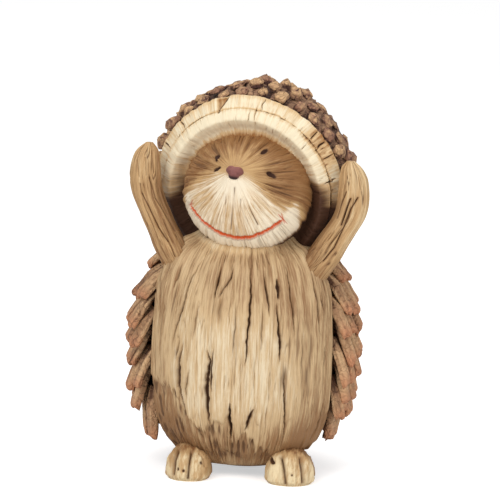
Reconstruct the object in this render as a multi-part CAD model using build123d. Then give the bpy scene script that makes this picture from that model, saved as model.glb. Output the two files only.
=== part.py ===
from build123d import *
import math
import os
import random

# Hedgehog figurine: a barrel body with a smooth belly, a coat of bark quills,
# two feet, two raised arms and a tilted head under a wide knobbed cap.
# Millimetres. X is to the viewer's right, Y runs to the back, Z is up.

# Fits and cuts that all pieces share
glue_gap = 0.15
overrun = 6.0

# Torso, a barrel turned about Z whose half outline is one superellipse below its waist and one above
barrel_radius = 52.5
barrel_waist_height = 62.0
underside_radius = 30.0
underside_height = 6.0
neck_radius = 20.0
neck_height = 126.0
barrel_drop_power_share = 3.0
barrel_rise_power_share = 2.5
barrel_stations = 9

# Belly panel, the front of the barrel
panel_thickness = 5.0
panel_half_angle = 62.0

# Cracks that the belly has split into, pointed at both ends and all cut to one depth
crack_depth = 1.8
crack_width = 2.2

# Angles in degrees from the front at the upper and at the lower end of each crack, then the heights
# of both ends as shares of the barrel's height and the crack's share of the width
belly_crack_shares = [
    (-30, -41, 0.89, 0.51, 0.8),
    (-16, -16, 0.86, 0.73, 0.9),
    (6, 5, 0.87, 0.53, 0.9),
    (16, 18, 0.85, 0.67, 0.9),
    (24, 24, 0.82, 0.47, 1.2),
    (32, 32, 0.88, 0.57, 0.9),
    (48, 52, 0.84, 0.56, 1.0),
    (-34, -33, 0.54, 0.2, 1.4),
    (-14, -16, 0.52, 0.17, 1.6),
    (-4, -3, 0.3, 0.13, 1.1),
    (10, 7, 0.28, 0.2, 1.3),
    (26, 30, 0.45, 0.14, 0.9),
]

# Seat, the flat boss under the back on which the figure leans
seat_radius = 20.0
seat_back_share = 0.5
seat_edge = 2.0

# Feet, placed from the rim of the underside, with toes from the inside to the outside
right_foot_inset = 6.0
left_foot_inset = 3.0
foot_lead = 1.0
right_foot_width = 25.5
left_foot_width = 27.5
foot_length = 36.0
foot_height = 17.5
toe_lead = 10.0
toe_length = 19.0
toe_height = 13.0
toe_out_shares = [-0.27, 0.06, 0.34]
toe_width_shares = [0.46, 0.42, 0.32]

# Arms, level ellipses carried up a bowed line from inside the shoulder to beside the cap
arm_width = 16.0
arm_depth = 13.0
right_arm_drop = 34.0
right_arm_sink = 17.4
right_hand_spread = 3.0
right_arm_forward = 20.0
right_arm_lean = -4.0
right_arm_rise = 74.5
left_arm_drop = 36.0
left_arm_sink = 18.8
left_hand_spread = 5.5
left_arm_forward = 23.0
left_arm_lean = 5.0
left_arm_rise = 73.5

# Shares of the rise, the bow, the lean, the width and the depth, from the shoulder to the fingertip
right_arm_shares = [
    (0.0, 0.0, 0.0, 1.3, 1.2),
    (0.17, 0.15, 0.05, 1.2, 1.2),
    (0.34, 0.37, 0.1, 1.08, 1.15),
    (0.5, 0.68, 0.3, 1.0, 1.05),
    (0.67, 0.95, 0.6, 0.98, 0.95),
    (0.82, 1.0, 0.85, 0.96, 0.88),
    (0.9, 0.99, 0.95, 0.86, 0.78),
    (0.96, 0.96, 1.0, 0.6, 0.55),
    (1.0, 0.93, 1.0, 0.22, 0.2),
]
left_arm_shares = [
    (0.0, 0.0, 0.0, 1.35, 1.25),
    (0.17, 0.11, 0.05, 1.3, 1.25),
    (0.34, 0.38, 0.15, 1.2, 1.15),
    (0.48, 0.64, 0.32, 1.12, 1.05),
    (0.61, 0.88, 0.57, 1.05, 0.98),
    (0.81, 0.97, 0.9, 0.98, 0.9),
    (0.9, 0.95, 0.97, 0.86, 0.8),
    (0.96, 0.91, 1.0, 0.62, 0.58),
    (1.0, 0.88, 1.0, 0.25, 0.22),
]

# Head, ellipses carried along an axis that ends at the nose
head_forward = 18.0
head_rise = 18.0
head_half_width = 33.0
head_half_height = 30.5
head_back_reach = 24.0
snout_reach = 37.5
head_yaw = -7.7
head_pitch = 24.0
head_roll = -7.0

# Shares of the reach, the half width, the half height and the drop of each head section,
# behind the middle as shares of the back reach and before it as shares of the snout reach
head_back_shares = [(-1.0, 0.62, 0.62, 0.0), (-0.5, 0.91, 0.92, 0.0), (0.0, 1.0, 1.0, 0.0)]
head_front_shares = [
    (0.28, 0.935, 0.93, 0.01),
    (0.54, 0.74, 0.72, 0.05),
    (0.76, 0.47, 0.46, 0.06),
    (0.91, 0.26, 0.25, 0.04),
    (1.0, 0.15, 0.15, 0.02),
]

# Nose, a rounded triangle seated on the end of the snout
nose_width = 9.6
nose_height = 6.6
nose_thickness = 3.6
nose_edge = 1.1

# Face marks: the mouth line, two eyes and two brow slits, all cut to one depth
groove_depth = 1.6
mouth_radius = 29.5
mouth_line_width = 1.4
mouth_half_angle = 55.0
mouth_centre_rise = 2.5
right_eye_across = -10.0
right_eye_up = 2.2
left_eye_across = 15.9
left_eye_up = 4.2
right_brow_across = -12.1
right_brow_up = 8.8
left_brow_across = 10.4
left_brow_up = 15.7
eye_length = 4.2
eye_width = 1.7
eye_turn = 30.0
brow_length = 4.8
brow_width = 1.8

# Shallow grooves that run out from the nose over the muzzle, the cheeks and the brow
ray_depth = 0.9
ray_width = 1.2

# Angle of each groove in degrees from the chin, and the distances from the nose where it begins
# and ends as shares of the half width
face_ray_shares = [
    (-38, 0.34, 0.62),
    (-12, 0.28, 0.64),
    (18, 0.26, 0.62),
    (42, 0.32, 0.64),
    (92, 0.3, 0.66),
    (127, 0.36, 0.7),
    (165, 0.28, 0.6),
    (185, 0.4, 0.72),
    (207, 0.3, 0.62),
    (222, 0.5, 0.74),
    (274, 0.32, 0.64),
]

# Cap, turned about an axis that points to the back and a little up
cap_back = 8.0
cap_rise = 0.6
cap_yaw = 10.2
cap_pitch = 9.9
cap_brim = 16.0
cap_dome_inset = 0.5
cap_dome_start = 15.0
cap_dome_depth = 37.0
cap_wall = 12.9
cap_crown_wall = 26.0
cap_seat_depth = 2.4

# Rings on the face of the cap, from the outside to the forehead
rim_width = 5.8
rim_front = 4.9
rim_edge = 1.2
band_step = 0.8
band_crest_inset = 4.3
band_crest_rise = 3.9
band_lip_inset = 2.0
band_lip_drop = 1.0
band_valley_inset = 3.5
band_valley_drop = 2.8
band_valley_width = 9.9

# Knobs on the cap, in rows behind the rim and one on the crown
knob_rows = 8
knob_width = 9.4
knob_gap = 0.5
knob_height = 5.6
knob_corner_share = 1.08
knob_first_angle = -12.0
knob_angle_step = 12.6
knob_shrink_share = 0.05
knob_uneven_share = 0.16
knob_shoulder_drop = 7.0

# Quills on the back of the barrel, in rows from the shoulders down
quill_rows = 8
quill_top_drop = 15.0
quill_bottom_rise = 36.0
quill_length = 24.0
quill_width = 7.0
quill_gap = 0.6
quill_thickness_share = 0.42
quill_splay = 22.0
quill_flatten_share = 0.5
quill_short_share = 0.18
quill_edge_angle = 3.0
quill_shoulder_angle = 17.0
quill_uneven_share = 0.1
quill_turn = 4.0

# Dowels that hold the head, the arms and the feet
dowel_fit = 0.1
neck_dowel_radius = 6.0
neck_dowel_depth = 30.0
neck_dowel_rise = 8.0
neck_dowel_forward = 15.0
arm_dowel_radius = 3.0
arm_dowel_depth = 12.0
foot_dowel_radius = 3.0
foot_dowel_depth = 22.0
foot_dowel_seat = 4.5
foot_dowel_inset = 4.0
foot_dowel_back = 7.0

# Sizes and places that follow from the ones above
right_foot_spread = underside_radius - right_foot_inset
left_foot_spread = underside_radius - left_foot_inset
foot_forward = underside_radius + foot_lead
toe_forward = foot_forward + toe_lead
head_height = neck_height + head_rise
cap_height = head_height + cap_rise
cap_forward = head_forward - cap_back
cap_radius = head_half_width + cap_brim
cap_dome_radius = cap_radius - cap_dome_inset
cap_bore_radius = cap_dome_radius - cap_wall
cap_bore_depth = cap_dome_start + cap_dome_depth - cap_crown_wall
rim_inner_radius = cap_radius - rim_width
band_front = rim_front + band_step
band_crest_radius = rim_inner_radius - band_crest_inset
band_crest_front = band_front + band_crest_rise
band_lip_radius = band_crest_radius - band_lip_inset
band_lip_front = band_crest_front - band_lip_drop
band_valley_front = band_lip_front - band_valley_drop
band_inner_radius = band_lip_radius - band_valley_width
quill_top_height = neck_height - quill_top_drop
quill_bottom_height = underside_height + quill_bottom_rise
quill_row_step = (quill_top_height - quill_bottom_height) / (quill_rows - 1)
quill_thickness = quill_thickness_share * quill_row_step


def barrel_radius_at(height):
    """Radius of the barrel at a height, from one superellipse above its waist and one below."""
    if height < barrel_waist_height:
        share = (barrel_waist_height - height) / (barrel_waist_height - underside_height)
        power = barrel_drop_power_share
        end_radius = underside_radius
    else:
        share = (height - barrel_waist_height) / (neck_height - barrel_waist_height)
        power = barrel_rise_power_share
        end_radius = neck_radius
    narrowing = 1 - (end_radius / barrel_radius) ** power
    return barrel_radius * (1 - narrowing * share ** power) ** (1 / power)


def barrel_slope_at(height):
    """Angle in degrees by which the barrel widens going down at a height."""
    widening = barrel_radius_at(height - glue_gap) - barrel_radius_at(height + glue_gap)
    return math.degrees(math.atan2(widening, 2 * glue_gap))


def barrel_solid(inset):
    """The whole barrel with its faces moved inwards by inset, or outwards where inset is negative."""
    low = underside_height + min(inset, 0)
    high = neck_height - min(inset, 0)
    rise = high - low
    side = []
    for number in range(barrel_stations + 1):
        height = low + rise * (1 - math.cos(math.pi * number / barrel_stations)) / 2
        side.append((barrel_radius_at(height) - inset, 0, height))
    outline = Wire([
        Line((0, 0, low), side[0]),
        Spline(*side),
        Line(side[-1], (0, 0, high)),
        Line((0, 0, high), (0, 0, low)),
    ])
    return revolve(Face(outline), Axis.Z)


def front_wedge(half_angle):
    """A wedge about Z that opens to the front by half_angle to each side."""
    reach = barrel_radius + overrun
    section = Pos(reach / 2, 0, neck_height / 2) * Rot(90, 0, 0) * Rectangle(reach, neck_height + overrun)
    return Rot(0, 0, -90 - half_angle) * revolve(section, Axis.Z, 2 * half_angle)


def rod(start, end, radius):
    """A round rod from one point to another."""
    along = Vector(*end) - Vector(*start)
    middle = (Vector(*end) + Vector(*start)) / 2
    return Plane(origin=middle, z_dir=along) * Cylinder(radius, along.length)


def neck_dowel(radius):
    foot = (0, -neck_dowel_forward, neck_height - neck_dowel_depth)
    top = (0, -neck_dowel_forward, neck_height + neck_dowel_rise)
    return rod(foot, top, radius)


def arm_stations(side, drop, sink, hand_spread, forward, lean, rise, shares):
    """Middle, width and depth of each section of an arm; side is -1 for the right arm, 1 for the left."""
    base = neck_height - drop
    start = barrel_radius_at(base) - sink
    bow = cap_radius + hand_spread - start
    stations = []
    for rise_share, bow_share, lean_share, width_share, depth_share in shares:
        across = side * (start + bow * bow_share)
        middle = Vector(across, -forward - lean * lean_share, base + rise * rise_share)
        stations.append((middle, arm_width * width_share, arm_depth * depth_share))
    return stations


def right_arm_stations():
    return arm_stations(-1, right_arm_drop, right_arm_sink, right_hand_spread, right_arm_forward,
                        right_arm_lean, right_arm_rise, right_arm_shares)


def left_arm_stations():
    return arm_stations(1, left_arm_drop, left_arm_sink, left_hand_spread, left_arm_forward,
                        left_arm_lean, left_arm_rise, left_arm_shares)


def arm_dowels(radius):
    """One slanted dowel for each shoulder, from inside the torso to the middle of the arm."""
    dowels = []
    for side, stations in ((-1, right_arm_stations()), (1, left_arm_stations())):
        begin = stations[0][0] + Vector(-side * arm_dowel_depth, arm_dowel_depth / 2, -arm_dowel_depth / 2)
        dowels.append(rod(begin, stations[2][0], radius))
    return dowels


def foot_dowels(radius):
    """One upright dowel for each foot, from inside the foot through the underside into the torso."""
    forward = foot_forward - foot_dowel_back
    dowels = []
    for across in (foot_dowel_inset - right_foot_spread, left_foot_spread - foot_dowel_inset):
        low = (across, -forward, underside_height - foot_dowel_seat)
        high = (across, -forward, underside_height + foot_dowel_depth)
        dowels.append(rod(low, high, radius))
    return dowels


def belly_crack(top_turn, low_turn, top_share, low_share, width_share):
    """A prism, pointed above and below, that runs from the barrel's axis out through the belly."""
    turn = (top_turn + low_turn) / 2
    ends = []
    for end_turn, share in ((top_turn, top_share), (low_turn, low_share)):
        height = underside_height + share * (neck_height - underside_height)
        ends.append(Vector(barrel_radius_at(height) * math.sin(math.radians(end_turn - turn)), height))
    middle = (ends[0] + ends[1]) / 2
    half = Vector(width_share * crack_width / 2, 0)
    section = Polygon(ends[0], middle - half, ends[1], middle + half, align=None)
    return Rot(0, 0, turn) * Rot(90, 0, 0) * extrude(section, barrel_radius + overrun)


def make_belly_panel():
    shell = barrel_solid(0) - barrel_solid(panel_thickness)
    panel = shell & front_wedge(panel_half_angle)
    uncut = barrel_solid(crack_depth)
    for shares in belly_crack_shares:
        panel -= belly_crack(*shares) - uncut
    return panel


def make_torso_core():
    core = barrel_solid(panel_thickness + glue_gap)
    seat_back = seat_back_share * underside_radius
    seat = Pos(0, seat_back, neck_height / 4) * Cylinder(seat_radius, neck_height / 2)
    seat = fillet(seat.edges().group_by(Axis.Z)[0], seat_edge)
    return core + seat


def make_foot(side, foot_spread, foot_width):
    """One foot with a heel and three toes; side is -1 for the figure's right foot, 1 for its left."""
    foot = Pos(side * foot_spread, -foot_forward, 0) * scale(
        Sphere(1), (foot_width / 2, foot_length / 2, foot_height))
    for out_share, width_share in zip(toe_out_shares, toe_width_shares):
        across = side * (foot_spread + out_share * foot_width)
        back = abs(out_share) * toe_length / 3
        foot += Pos(across, back - toe_forward, 0) * scale(
            Sphere(1), (width_share * foot_width / 2, toe_length / 2, toe_height))
    below = Pos(0, 0, -neck_height / 2) * Box(3 * barrel_radius, 3 * barrel_radius, neck_height)
    return foot - below


def make_arm(stations):
    """One arm as a loft of level ellipses."""
    return loft([Pos(middle) * Ellipse(width / 2, depth / 2) for middle, width, depth in stations])


def head_place():
    """Frame of the head: X to the viewer's right, Y to the crown, Z from the middle to the nose."""
    yaw = math.radians(head_yaw)
    pitch = math.radians(head_pitch)
    to_nose = Vector(math.sin(yaw) * math.cos(pitch), -math.cos(yaw) * math.cos(pitch), math.sin(pitch))
    level = Vector(math.cos(yaw), math.sin(yaw), 0)
    across = level.rotate(Axis((0, 0, 0), to_nose), head_roll)
    return Plane(origin=(0, -head_forward, head_height), x_dir=across, z_dir=to_nose)


def head_solid(inset):
    """The head with its side moved inwards by inset, in the head's own frame."""
    sections = []
    for reach, shares in ((head_back_reach, head_back_shares), (snout_reach, head_front_shares)):
        for reach_share, width_share, height_share, drop_share in shares:
            place = Pos(0, -drop_share * head_half_height, reach_share * reach)
            half_width = head_half_width * width_share - inset
            half_height = head_half_height * height_share - inset
            sections.append(place * Ellipse(half_width, half_height))
    return loft(sections)


def face_marks():
    """Prisms along the head's axis for the mouth, the eyes and the brow slits, in the head's frame."""
    ring = Cylinder(mouth_radius, snout_reach) - Cylinder(mouth_radius - mouth_line_width, snout_reach)
    sector_reach = 2 * mouth_radius
    corner = math.radians(mouth_half_angle)
    side_reach = sector_reach * math.sin(corner)
    sector_drop = sector_reach * math.cos(corner)
    corners = [(0, 0), (-side_reach, -sector_drop), (0, -sector_reach), (side_reach, -sector_drop)]
    sector = extrude(Polygon(*corners, align=None), 2 * snout_reach)
    mouth = ring & Pos(0, 0, -snout_reach) * sector
    marks = [Pos(0, mouth_centre_rise, snout_reach / 2) * mouth]
    for across, up, length, width, turn in (
        (right_eye_across, right_eye_up, eye_length, eye_width, eye_turn),
        (left_eye_across, left_eye_up, eye_length, eye_width, -eye_turn),
        (right_brow_across, right_brow_up, brow_width, brow_length, 0),
        (left_brow_across, left_brow_up, brow_width, brow_length, 0),
    ):
        slit = extrude(Ellipse(length / 2, width / 2), snout_reach)
        marks.append(Pos(across, up, snout_reach / 2) * Rot(0, 0, turn) * slit)
    return marks


def face_rays():
    """Prisms along the head's axis, pointed at both ends, that stand in rays about the nose."""
    rays = []
    for angle, begin_share, end_share in face_ray_shares:
        begin = begin_share * head_half_width
        length = (end_share - begin_share) * head_half_width
        half = ray_width / 2
        section = Polygon((0, -begin), (-half, -begin - length / 2), (0, -begin - length),
                          (half, -begin - length / 2), align=None)
        rays.append(Rot(0, 0, angle) * extrude(section, snout_reach))
    return rays


def make_head():
    head = head_solid(0)
    for depth, marks in ((groove_depth, face_marks()), (ray_depth, face_rays())):
        uncut = head_solid(depth)
        for mark in marks:
            head -= mark - uncut
    return head_place() * head


def make_nose():
    """A rounded triangle, point down, on the end of the snout."""
    half = nose_width / 2
    top = nose_height / 2
    outline = Polygon((-half, top), (half, top), (0, -top), align=None)
    outline = fillet(outline.vertices(), nose_edge)
    nose = extrude(outline, nose_thickness, dir=(0, 0, 1))
    nose = fillet(nose.edges().group_by(Axis.Z)[-1], nose_edge)
    tip_drop = head_front_shares[-1][3] * head_half_height
    return head_place() * Pos(0, -tip_drop, snout_reach + glue_gap) * nose


def cap_place():
    """Frame of the cap: Z from the middle of the rim to the crown, X level to the viewer's right."""
    yaw = math.radians(cap_yaw)
    pitch = math.radians(cap_pitch)
    to_crown = Vector(math.sin(yaw) * math.cos(pitch), math.cos(yaw) * math.cos(pitch), math.sin(pitch))
    across = Vector(math.cos(yaw), -math.sin(yaw), 0)
    return Plane(origin=(0, -cap_forward, cap_height), x_dir=across, z_dir=to_crown)


def cap_turned(lines):
    """Turn an outline of radius and depth about the cap's axis and put it in place."""
    return cap_place() * revolve(Face(Wire([Plane.XZ * line for line in lines])), Axis.Z)


def make_cap_cup():
    crown = cap_dome_start + cap_dome_depth
    edge_angle = math.asin((cap_seat_depth - cap_dome_start) / cap_dome_depth)
    edge_radius = cap_dome_radius * math.cos(edge_angle)
    turn = math.degrees(edge_angle)
    bore_rise = cap_bore_depth - cap_seat_depth
    return cap_turned([
        EllipticalCenterArc((0, cap_dome_start), cap_dome_radius, cap_dome_depth, turn, arc_size=90 - turn),
        Line((0, crown), (0, cap_bore_depth)),
        EllipticalCenterArc((0, cap_seat_depth), cap_bore_radius, bore_rise, arc_size=90),
        Line((cap_bore_radius, cap_seat_depth), (edge_radius, cap_seat_depth)),
    ])


def make_cap_rim():
    back = cap_seat_depth - glue_gap
    rounding = cap_radius - rim_edge
    slope = rim_front / (cap_radius - rim_inner_radius)
    return cap_turned([
        Line((rim_inner_radius, back), (rim_inner_radius, -rim_front)),
        Line((rim_inner_radius, -rim_front), (rounding, -rim_edge * slope)),
        Line((rounding, -rim_edge * slope), (cap_radius, rim_edge / 2)),
        Line((cap_radius, rim_edge / 2), (rounding, back)),
        Line((rounding, back), (rim_inner_radius, back)),
    ])


def make_cap_band():
    back = cap_seat_depth - glue_gap
    outer = rim_inner_radius - glue_gap
    return cap_turned([
        Line((outer, back), (outer, -band_front)),
        Spline(
            (outer, -band_front),
            (band_crest_radius, -band_crest_front),
            (band_lip_radius, -band_lip_front),
            (band_lip_radius - band_valley_inset, -band_valley_front),
            (band_inner_radius, -band_valley_front),
        ),
        Line((band_inner_radius, -band_valley_front), (band_inner_radius, back)),
        Line((band_inner_radius, back), (outer, back)),
    ])


def make_knob(width, length, height, lean):
    """A five-sided bark knob that swells a little and ends in a smaller, shifted top."""
    sections = []
    for height_share, size_share, lean_share in ((0.0, 0.92, 0.0), (0.45, 1.0, 0.3), (1.0, 0.55, 1.0)):
        block = scale(
            RegularPolygon(knob_corner_share, 5, rotation=18),
            (width * size_share / 2, length * size_share / 2, 1),
        )
        sections.append(Pos(0, lean * lean_share, height * height_share) * block)
    return loft(sections, ruled=True)


def make_knob_row(row):
    """A row of knobs round the dome; those that would meet the shoulders are left out."""
    scatter = random.Random(row)
    angle = math.radians(min(knob_first_angle + row * knob_angle_step, 90))
    ring = cap_dome_radius * math.cos(angle)
    depth = cap_dome_start + cap_dome_depth * math.sin(angle)
    tilt = math.atan2(math.sin(angle) / cap_dome_depth, math.cos(angle) / cap_dome_radius)
    count = max(int(2 * math.pi * ring / (knob_width + knob_gap)), 1)
    size = 1 - knob_shrink_share * row
    knobs = []
    for number in range(count):
        turn = 2 * math.pi * (number + (row % 2) / 2) / count
        width, length, height = (
            base * size * (1 + knob_uneven_share * scatter.uniform(-1, 0))
            for base in (knob_width, knob_width, knob_height)
        )
        outward = Vector(math.cos(turn) * math.cos(tilt), math.sin(turn) * math.cos(tilt), math.sin(tilt))
        level = Vector(-math.sin(turn), math.cos(turn), 0)
        seat = Vector(ring * math.cos(turn), ring * math.sin(turn), depth) + outward * glue_gap
        middle = cap_place().from_local_coords(seat)
        if middle.Z < neck_height - knob_shoulder_drop + knob_width / 2:
            continue
        knob = make_knob(width, length, height, length * knob_uneven_share)
        knobs.append(cap_place() * Plane(origin=seat, x_dir=level, z_dir=outward) * knob)
    return Compound(knobs)


def make_quill(length, width, thickness):
    """A five-sided bark rod along Z, ridged outside, whose inner side lies in the plane Y = 0."""
    sections = []
    for length_share, width_share, thickness_share in ((0.0, 0.7, 0.5), (0.4, 1.0, 1.0), (1.0, 0.88, 0.85)):
        half = width * width_share / 2
        deep = thickness * thickness_share
        low_side = [(-half, deep / 3), (-half / 2, 0), (half / 2, 0), (half, deep / 3)]
        section = Polygon(*low_side, (0, deep), align=None)
        sections.append(Pos(0, 0, length * length_share) * section)
    return loft(sections, ruled=True)


def make_quill_row(row):
    """A row of quills round the back, from one edge of the belly panel to the other."""
    scatter = random.Random(100 + row)
    height = quill_top_height - row * quill_row_step
    ring = barrel_radius_at(height) - panel_thickness
    first = math.radians(panel_half_angle + quill_edge_angle)
    if row == 0:
        first += math.radians(quill_shoulder_angle)
    span = 2 * (math.pi - first)
    count = int(span * ring / (quill_width + quill_gap))
    from_waist_share = 2 * row / (quill_rows - 1) - 1
    splay = quill_splay * (1 - quill_flatten_share * from_waist_share ** 2)
    reach = quill_length * (1 - quill_short_share * from_waist_share ** 2)
    lean = math.radians(barrel_slope_at(height) + splay)
    quills = []
    for number in range(count):
        turn = first + span * (number + 0.25 + 0.5 * (row % 2)) / count
        length = reach * (1 + quill_uneven_share * scatter.uniform(-1, 1))
        out = Vector(math.sin(turn), -math.cos(turn), 0)
        level = Vector(math.cos(turn), math.sin(turn), 0)
        along = out * math.sin(lean) - Vector(0, 0, 1) * math.cos(lean)
        seat = out * (ring + glue_gap) + Vector(0, 0, height)
        quill = make_quill(length, quill_width, quill_thickness)
        sway = Rot(0, quill_turn * scatter.uniform(-1, 1), 0)
        quills.append(Plane(origin=seat, x_dir=level, z_dir=along) * sway * quill)
    return Compound(quills)


def build():
    """All pieces by name, each cut to seat on its neighbours."""
    torso_space = barrel_solid(-glue_gap)
    head_space = head_place() * head_solid(-glue_gap)
    dowels = {
        "neck_dowel": [neck_dowel(neck_dowel_radius)],
        "shoulder_dowels": arm_dowels(arm_dowel_radius),
        "foot_dowels": foot_dowels(foot_dowel_radius),
    }
    holes = [neck_dowel(neck_dowel_radius + dowel_fit)]
    holes += arm_dowels(arm_dowel_radius + dowel_fit)
    holes += foot_dowels(foot_dowel_radius + dowel_fit)
    pieces = {
        "torso_core": make_torso_core() - head_space,
        "belly_panel": make_belly_panel() - head_space,
        "right_foot": make_foot(-1, right_foot_spread, right_foot_width) - torso_space,
        "left_foot": make_foot(1, left_foot_spread, left_foot_width) - torso_space,
        "right_arm": make_arm(right_arm_stations()) - torso_space,
        "left_arm": make_arm(left_arm_stations()) - torso_space,
        "head": make_head(),
    }
    for name, piece in pieces.items():
        for hole in holes:
            piece -= hole
        pieces[name] = piece
    pieces["nose"] = make_nose()
    pieces["cap_cup"] = make_cap_cup() - torso_space
    pieces["cap_rim"] = make_cap_rim() - torso_space
    pieces["cap_band"] = make_cap_band() - torso_space - head_space
    for row in range(knob_rows + 1):
        pieces[f"cap_knobs_{row + 1}"] = make_knob_row(row)
    for row in range(quill_rows):
        pieces[f"quill_row_{row + 1}"] = make_quill_row(row)
    for name, rods in dowels.items():
        pieces[name] = Compound(rods)
    return pieces


def stand(pieces):
    """Move all pieces alike so that the middle of the whole figure's footprint is at the origin."""
    box = Compound(list(pieces.values())).bounding_box()
    shift = Pos(-(box.min.X + box.max.X) / 2, -(box.min.Y + box.max.Y) / 2, -box.min.Z)
    return {name: shift * piece for name, piece in pieces.items()}


os.makedirs("parts", exist_ok=True)
for name, piece in stand(build()).items():
    export_step(piece, f"parts/{name}.step")
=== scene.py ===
import functools
import math
import random
import bpy
import numpy as np
from mathutils import Matrix, Vector


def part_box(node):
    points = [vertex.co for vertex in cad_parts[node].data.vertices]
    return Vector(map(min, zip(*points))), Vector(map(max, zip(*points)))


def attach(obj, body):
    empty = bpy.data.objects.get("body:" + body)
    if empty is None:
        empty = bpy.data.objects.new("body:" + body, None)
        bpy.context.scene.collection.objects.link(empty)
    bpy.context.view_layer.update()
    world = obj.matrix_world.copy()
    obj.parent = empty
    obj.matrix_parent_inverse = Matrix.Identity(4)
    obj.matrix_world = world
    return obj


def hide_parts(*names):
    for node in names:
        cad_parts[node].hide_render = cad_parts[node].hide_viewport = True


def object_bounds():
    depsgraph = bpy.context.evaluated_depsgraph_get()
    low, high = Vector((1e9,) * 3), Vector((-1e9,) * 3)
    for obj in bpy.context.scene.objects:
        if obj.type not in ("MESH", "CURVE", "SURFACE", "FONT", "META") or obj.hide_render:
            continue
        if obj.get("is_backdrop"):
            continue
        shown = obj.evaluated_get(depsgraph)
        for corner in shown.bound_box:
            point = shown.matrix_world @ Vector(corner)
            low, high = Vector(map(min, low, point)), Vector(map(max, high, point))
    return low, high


# Carved hedgehog figurine. Shapes are worked out in millimetres round the barrel's own axis
# (x to the viewer's right, y to the back, z up) and go into the meshes in metres.

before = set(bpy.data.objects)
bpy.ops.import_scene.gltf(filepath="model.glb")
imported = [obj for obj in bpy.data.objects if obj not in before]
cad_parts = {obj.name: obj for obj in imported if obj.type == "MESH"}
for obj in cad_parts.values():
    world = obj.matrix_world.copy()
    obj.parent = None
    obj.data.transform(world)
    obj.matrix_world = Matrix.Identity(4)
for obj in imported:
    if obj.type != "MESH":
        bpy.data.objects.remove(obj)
cadLow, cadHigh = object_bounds()
mm = 0.001
coreLow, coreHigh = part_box("torso_core")
barrelAxis = np.array([(coreLow.x + coreHigh.x) / 2, (coreLow.y + coreHigh.y) / 2, 0.0]) / mm
print("frame loaded, barrel axis at", barrelAxis.round(2))


# ease from 0 to 1 while value goes from low to high: 3t^2 - 2t^3
def ease(value, low, high):
    t = np.clip((value - low) / (high - low), 0, 1)
    return t * t * (3 - 2 * t)


# random heights on a whole-number lattice, eased between the four neighbours; u repeats after period cells
def lumps(u, v, seed, period=64, length=101):
    table = np.random.default_rng(seed).uniform(-1, 1, (period, length))
    u0, v0 = np.floor(u).astype(int), np.floor(v).astype(int)
    fu, fv = ease(u - u0, 0, 1), ease(v - v0, 0, 1)
    a, b = u0 % period, v0 % length
    c, d = (a + 1) % period, (b + 1) % length
    low = table[a, b] * (1 - fu) + table[c, b] * fu
    high = table[a, d] * (1 - fu) + table[c, d] * fu
    return low * (1 - fv) + high * fv


# lumps added to lumps of half the size and half the height, and so on
def roughLumps(u, v, seed, period=64, layers=3):
    total = np.zeros(np.broadcast(u, v).shape)
    for layer in range(layers):
        k = 2 ** layer
        total += lumps(u * k, v * k, seed + layer, period * k) / k
    return total


# thin lines where rough lumps pass through zero: a bell of the given width round zero
def splits(lumpy, width):
    return np.exp(-(lumpy / width) ** 2)


# depth of a groove: deepest on its line, nothing at its half width and at both ends of its share
def groove(offset, share, halfWidth, depth):
    inside = (share > 0) & (share < 1)
    taper = np.where(inside, np.sin(np.pi * np.clip(share, 0, 1)), 0) ** 0.45
    near = np.clip(1 - np.abs(offset) / (halfWidth * np.maximum(taper, 0.05)), 0, 1)
    return depth * taper * near ** 0.75 * inside


# the largest of several values at each point
def largest(*values):
    return functools.reduce(np.maximum, values)


# how far round places are from a turn, the shorter way: from minus half to half of the whole turn
def aroundFrom(places, turn, whole=1):
    return (places - turn + whole / 2) % whole - whole / 2


# cubic through the given points, with slopes taken from their neighbours
def smoothThrough(xs, ys, x):
    xs, ys = np.asarray(xs, float), np.asarray(ys, float)
    slopes = np.gradient(ys, xs)
    i = np.clip(np.searchsorted(xs, x) - 1, 0, len(xs) - 2)
    span = xs[i + 1] - xs[i]
    t = np.clip((x - xs[i]) / span, 0, 1)
    start = ys[i] * (1 + 2 * t) * (1 - t) ** 2 + slopes[i] * span * t * (1 - t) ** 2
    return start + ys[i + 1] * t * t * (3 - 2 * t) + slopes[i + 1] * span * t * t * (t - 1)


# three values for each point of a grid, such as x, y and z
def gridOf(x, y, z):
    return np.stack(np.broadcast_arrays(x, y, z), -1)


# turns once round from the given start, as one row
def wholeTurn(columns, start=0.0):
    return np.linspace(start, start + 2 * np.pi, columns, endpoint=False)[None, :]


# unit normals of a grid: the cross product of its differences along columns and rows, all turned about if
# they point against the offsets from the middle that are given for the first rows
def gridNormals(points, offsets, wrapColumns=True, wrapRows=False):
    across = np.roll(points, -1, 1) - np.roll(points, 1, 1) if wrapColumns else np.gradient(points, axis=1)
    along = np.roll(points, -1, 0) - np.roll(points, 1, 0) if wrapRows else np.gradient(points, axis=0)
    normals = np.cross(across, along)
    normals = normals / np.maximum(np.linalg.norm(normals, axis=-1, keepdims=True), 1e-9)
    return normals if (normals[:len(offsets)] * offsets).sum() >= 0 else -normals


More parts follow.
